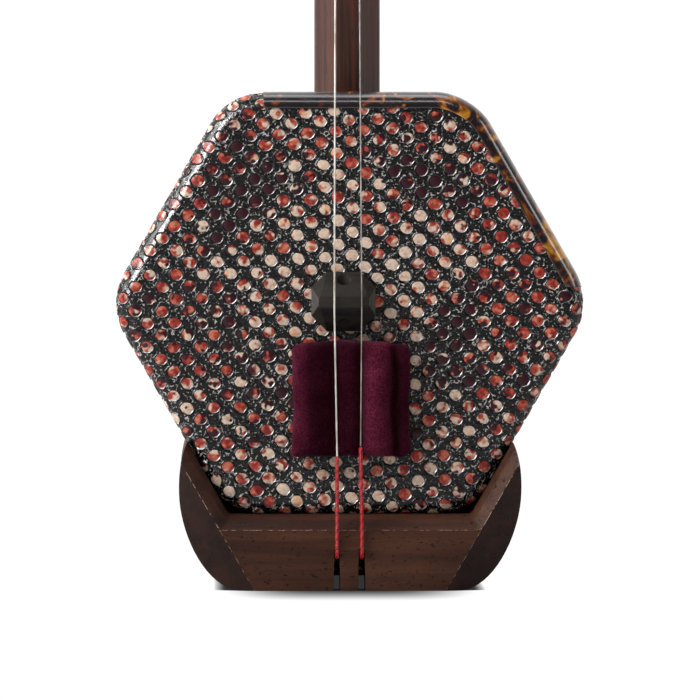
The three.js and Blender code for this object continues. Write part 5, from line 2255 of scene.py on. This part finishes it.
    def recess_cutter(self) -> Object:
        """The hollow under the block that hides the screw and the pins."""
        bm = self.box_cutter(Vector((-14, -39, -5)), Vector((14, 22, 10)))
        upright = [e for e in bm.edges if abs(e.verts[0].co.z - e.verts[1].co.z) > 5 * MM]
        bevel_edges(bm, upright, 4 * MM, 6)
        return object_from(bm, "recess_cutter")

    def slot_cutter(self, x: float, inner: float, outer: float) -> Object:
        """A slot for a silk through the front lip, wider at the front."""
        bm = self.box_cutter(Vector((x - outer, -60, -5)), Vector((x + outer, -38, 8.8)))
        for v in bm.verts:
            share = 1.0
            if v.co.y > self.layout.neck_y - 45 * MM:
                share *= inner / outer
            if v.co.z > 5 * MM:
                share *= 0.55
            v.co.x = x * MM + (v.co.x - x * MM) * share
        upper = [e for e in bm.edges if all(v.co.z > 8 * MM for v in e.verts)
                 and abs(e.verts[0].co.y - e.verts[1].co.y) > 1 * MM]
        bevel_edges(bm, upper, inner * 0.5 * MM, 4)
        return object_from(bm, "slot_cutter")

    def hole_cutter(self) -> Object:
        """The screw's clearance hole."""
        bm = bmesh.new()
        bmesh.ops.create_cone(
            bm, cap_ends=True, radius1=2.2 * MM, radius2=2.2 * MM, depth=40 * MM, segments=24,
            matrix=Matrix.Translation((0, self.layout.neck_y, 15 * MM)),
        )
        return object_from(bm, "screw_hole_cutter")

    def build(self) -> None:
        """Makes the base's pieces and hands them over."""
        wood = wood_material("rosewood_base", Wood.BASE.value)
        block = self.build_block()
        block.data.materials.append(wood)
        block.data.materials.append(wood_material("rosewood_base_dark_facets", Wood.BASE_FACETS.value))
        self.finish(block, "rosewood_base", None, ["base_block"], smooth=28)
        brass = mottled_material("brass", Finish.BRASS.value)
        for node in ("base_washer", "base_screw", "inner_string_pin", "outer_string_pin"):
            bm = copy_of_node(node)
            bevel_edges(bm, sharp_edges(bm, 40), 0.18 * MM, 2)
            self.finish(object_from(bm, f"{node}_turned"), "brass", brass, [node])


# ---- Studio ----


@dataclass(frozen=True)
class SoftLight:
    """One soft box.

    Attributes:
        name: The light's name.
        place: Where it stands, in metres.
        aim: What it is turned to.
        size: Its width and height.
        power: In watts.
        colour: Of its light.
        shine_only: Whether it only shows as a reflection, and only in the varnished skin.
    """

    name: str
    place: Triple
    aim: Triple
    size: tuple[float, float]
    power: float
    colour: Triple = (1.0, 1.0, 1.0)
    shine_only: bool = False


@dataclass
class Studio:
    """The camera, lights, floor and background.

    Attributes:
        layout: The places in the frame.
        distance: From the camera to the skin.
        azimuth: The camera's turn about +Z, in degrees; negative is to the left of the front.
        elevation: The camera's rise, in degrees.
        view_height: Height of the view's middle.
        view_width: Width of the view at the skin.
    """

    layout: Layout
    distance: float = 1.8
    azimuth: float = -0.9
    elevation: float = 1.2
    view_height: float = 50.3 * MM
    view_width: float = 146.8 * MM
    lights: tuple[SoftLight, ...] = (
        SoftLight("upper_left_box", (-0.80, -0.60, 0.80), (0, -0.05, 0.06), (0.50, 0.50), 13.0),
        SoftLight("overhead_box", (0.0, 0.05, 1.60), (0, 0, 0.06), (0.9, 0.7), 7.0),
        SoftLight("left_box", (-1.11, -0.27, 0.70), (0, -0.05, 0.06), (0.60, 0.90), 15.0),
        SoftLight("right_reflector", (1.05, -0.45, 0.40), (0.0, -0.05, 0.06), (0.25, 0.9), 3.5),
        SoftLight("edge_shine", (-0.66, -1.02, 0.44), (0, -0.05, 0.06), (0.46, 0.46), 42.0, (1, 1, 1), True),
        SoftLight("front_top_strip", (0.0, -1.00, 1.20), (0, -0.05, 0.08), (0.9, 0.12), 2.5),
    )

    def build_camera(self) -> None:
        """Sets the camera up."""
        target = Vector((0, self.layout.face_y, self.view_height))
        turn, rise = math.radians(self.azimuth), math.radians(self.elevation)
        away = Vector((math.sin(turn) * math.cos(rise), -math.cos(turn) * math.cos(rise), math.sin(rise)))
        lens = bpy.data.cameras.new("view_camera")
        lens.sensor_width = 36.0
        lens.lens = 36.0 * self.distance / self.view_width
        lens.clip_end = 60.0
        camera = bpy.data.objects.new("view_camera", lens)
        camera.location = target + away * self.distance
        camera.rotation_euler = (-away).to_track_quat("-Z", "Y").to_euler()
        show(camera)
        bpy.context.scene.camera = camera

    def build_lights(self) -> None:
        """Hangs the soft boxes."""
        for light in self.lights:
            lamp = bpy.data.lights.new(light.name, "AREA")
            lamp.shape = "RECTANGLE"
            lamp.size, lamp.size_y = light.size
            lamp.energy = light.power
            lamp.color = light.colour
            holder = bpy.data.objects.new(light.name, lamp)
            holder.location = light.place
            aim = Vector(light.aim) - Vector(light.place)
            holder.rotation_euler = aim.to_track_quat("-Z", "Y").to_euler()
            holder.visible_diffuse = not light.shine_only
            show(holder)

    def limit_shine(self) -> None:
        """Keeps the lights that are only reflections to the pieces of the skin."""
        skin = bpy.data.collections.new("varnished_skin")
        for piece in bpy.context.scene.objects:
            if piece.name.startswith("python_skin_"):
                skin.objects.link(piece)
        for light in self.lights:
            if light.shine_only:
                bpy.data.objects[light.name].light_linking.receiver_collection = skin

    def build_world(self) -> None:
        """A white background that lights the instrument with a dimmer grey."""
        world = bpy.data.worlds.new("white_room")
        world.use_nodes = True
        nodes, links = world.node_tree.nodes, world.node_tree.links
        nodes.clear()
        path = nodes.new("ShaderNodeLightPath")
        path.label = "Seen or lighting"
        heading = nodes.new("ShaderNodeTexCoord")
        heading.label = "Which way one looks"
        axes = nodes.new("ShaderNodeSeparateXYZ")
        axes.label = "Back or front of the room"
        depth = nodes.new("ShaderNodeMapRange")
        depth.label = "White behind the instrument, dark in front"
        depth.interpolation_type = "SMOOTHSTEP"
        room = nodes.new("ShaderNodeBackground")
        room.label = "Room that lights"
        backdrop = nodes.new("ShaderNodeBackground")
        backdrop.label = "White backdrop that is seen"
        either = nodes.new("ShaderNodeMixShader")
        either.label = "Backdrop for the camera only"
        output = nodes.new("ShaderNodeOutputWorld")
        output.label = "Room"

        for node, socket, value in (
            (depth, "From Min", -0.15), (depth, "From Max", 0.65), (depth, "To Min", 0.06),
            (depth, "To Max", 1.3), (room, "Color", (1, 1, 1, 1)), (backdrop, "Color", (1, 1, 1, 1)),
            (backdrop, "Strength", 1.05),
        ):
            node.inputs[socket].default_value = value

        links.new(heading.outputs["Generated"], axes.inputs["Vector"])
        links.new(axes.outputs["Y"], depth.inputs["Value"])
        links.new(depth.outputs["Result"], room.inputs["Strength"])
        links.new(path.outputs["Is Camera Ray"], either.inputs["Fac"])
        links.new(room.outputs["Background"], either.inputs[1])
        links.new(backdrop.outputs["Background"], either.inputs[2])
        links.new(either.outputs["Shader"], output.inputs["Surface"])
        lay_out(nodes, {"Room": [heading, axes, depth, room], "Backdrop": [path, backdrop, either]})
        bpy.context.scene.world = world

    def build_floor(self) -> None:
        """Lays a very large pale floor that blends into the background, with a painted shadow round the
        base.
        """
        material, nodes, links = empty_material("pale_floor")
        paper = nodes.new("ShaderNodeBsdfDiffuse")
        paper.label = "Paper that lights the underside"
        path = nodes.new("ShaderNodeLightPath")
        path.label = "Seen or lighting"
        contact = nodes.new("ShaderNodeAmbientOcclusion")
        contact.label = "How open the floor is"
        contact.samples = 16
        place = nodes.new("ShaderNodeTexCoord")
        place.label = "Place on the floor"
        footprint = nodes.new("ShaderNodeMapping")
        footprint.label = "From the middle of the base, long to the front"
        squarer = nodes.new("ShaderNodeVectorMath")
        squarer.label = "Squared, for a squarer pool"
        squarer.operation = "MULTIPLY"
        distance = nodes.new("ShaderNodeVectorMath")
        distance.label = "Distance from it"
        distance.operation = "LENGTH"
        pool = nodes.new("ShaderNodeMapRange")
        pool.label = "Soft pool of shadow"
        pool.interpolation_type = "SMOOTHSTEP"
        both = nodes.new("ShaderNodeMix")
        both.label = "Pool and contact"
        both.data_type = "RGBA"
        both.blend_type = "MULTIPLY"
        shadow = nodes.new("ShaderNodeValToRGB")
        shadow.label = "Soft contact shadow"
        shadow.color_ramp.elements[0].position = 0.30
        shadow.color_ramp.elements[0].color = (0.03, 0.03, 0.03, 1.0)
        shadow.color_ramp.elements[1].position = 0.97
        middle = shadow.color_ramp.elements.new(0.80)
        middle.color = (0.62, 0.62, 0.62, 1.0)
        glow = nodes.new("ShaderNodeEmission")
        glow.label = "White paper as it is seen"
        either = nodes.new("ShaderNodeMixShader")
        either.label = "Seen or lighting"
        output = nodes.new("ShaderNodeOutputMaterial")
        output.label = "Surface"

        for node, socket, value in (
            (paper, "Color", (0.5, 0.5, 0.5, 1)), (contact, "Distance", 0.002),
            (footprint, "Location", (0.0, 0.045 / 0.085, 0.0)),
            (footprint, "Scale", (1 / 0.0285, 1 / 0.085, 0.0)), (pool, "From Min", 0.1),
            (pool, "From Max", 1.0), (pool, "To Min", 0.03), (both, "Factor", 1.0),
            (glow, "Strength", 1.05),
        ):
            node.inputs[socket].default_value = value

        links.new(contact.outputs["AO"], shadow.inputs["Fac"])
        links.new(place.outputs["Object"], footprint.inputs["Vector"])
        links.new(footprint.outputs["Vector"], squarer.inputs[0])
        links.new(footprint.outputs["Vector"], squarer.inputs[1])
        links.new(squarer.outputs["Vector"], distance.inputs[0])
        links.new(distance.outputs["Value"], pool.inputs["Value"])
        links.new(shadow.outputs["Color"], both.inputs["A"])
        links.new(pool.outputs["Result"], both.inputs["B"])
        links.new(both.outputs["Result"], glow.inputs["Color"])
        links.new(path.outputs["Is Camera Ray"], either.inputs["Fac"])
        links.new(paper.outputs["BSDF"], either.inputs[1])
        links.new(glow.outputs["Emission"], either.inputs[2])
        links.new(either.outputs["Shader"], output.inputs["Surface"])
        lay_out(
            nodes,
            {
                "As seen": [contact, shadow, place, footprint, squarer, distance, pool, both, glow],
                "As a light": [path, paper],
            },
        )
        bm = bmesh.new()
        bmesh.ops.create_grid(bm, x_segments=1, y_segments=1, size=200.0)
        bmesh.ops.translate(bm, vec=(70.0, 0.0, 0.0), verts=bm.verts[:])
        floor = object_from(bm, "floor")
        floor.data.materials.append(material)

    def build(self) -> None:
        """Sets the whole studio up."""
        scene = bpy.context.scene
        scene.view_settings.view_transform = "Standard"
        scene.view_settings.look = "None"
        self.build_camera()
        self.build_world()
        self.build_lights()
        self.build_floor()


# ---- The whole instrument ----


def main() -> None:
    """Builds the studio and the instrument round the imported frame."""
    logging.basicConfig(level=logging.INFO, format="%(name)s: %(message)s")
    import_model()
    layout = Layout.from_frame()
    studio = Studio(layout)
    studio.build()
    sections: list[Assembly] = [
        PythonSkin(layout),
        SoundBox(layout),
        Neck(layout),
        Strings(layout),
        Peg(layout, "lower_peg", height=650 * MM, string_radius=0.15 * MM, turns=11),
        Peg(layout, "upper_peg", height=745 * MM, string_radius=0.225 * MM, turns=8),
        Qianjin(layout),
        Bridge(layout),
        DamperPad(layout),
        Base(layout),
    ]
    for section in sections:
        section.build()
        LOG.info("%s is built", type(section).__name__)
    studio.limit_shine()


if __name__ == "__main__":
    main()
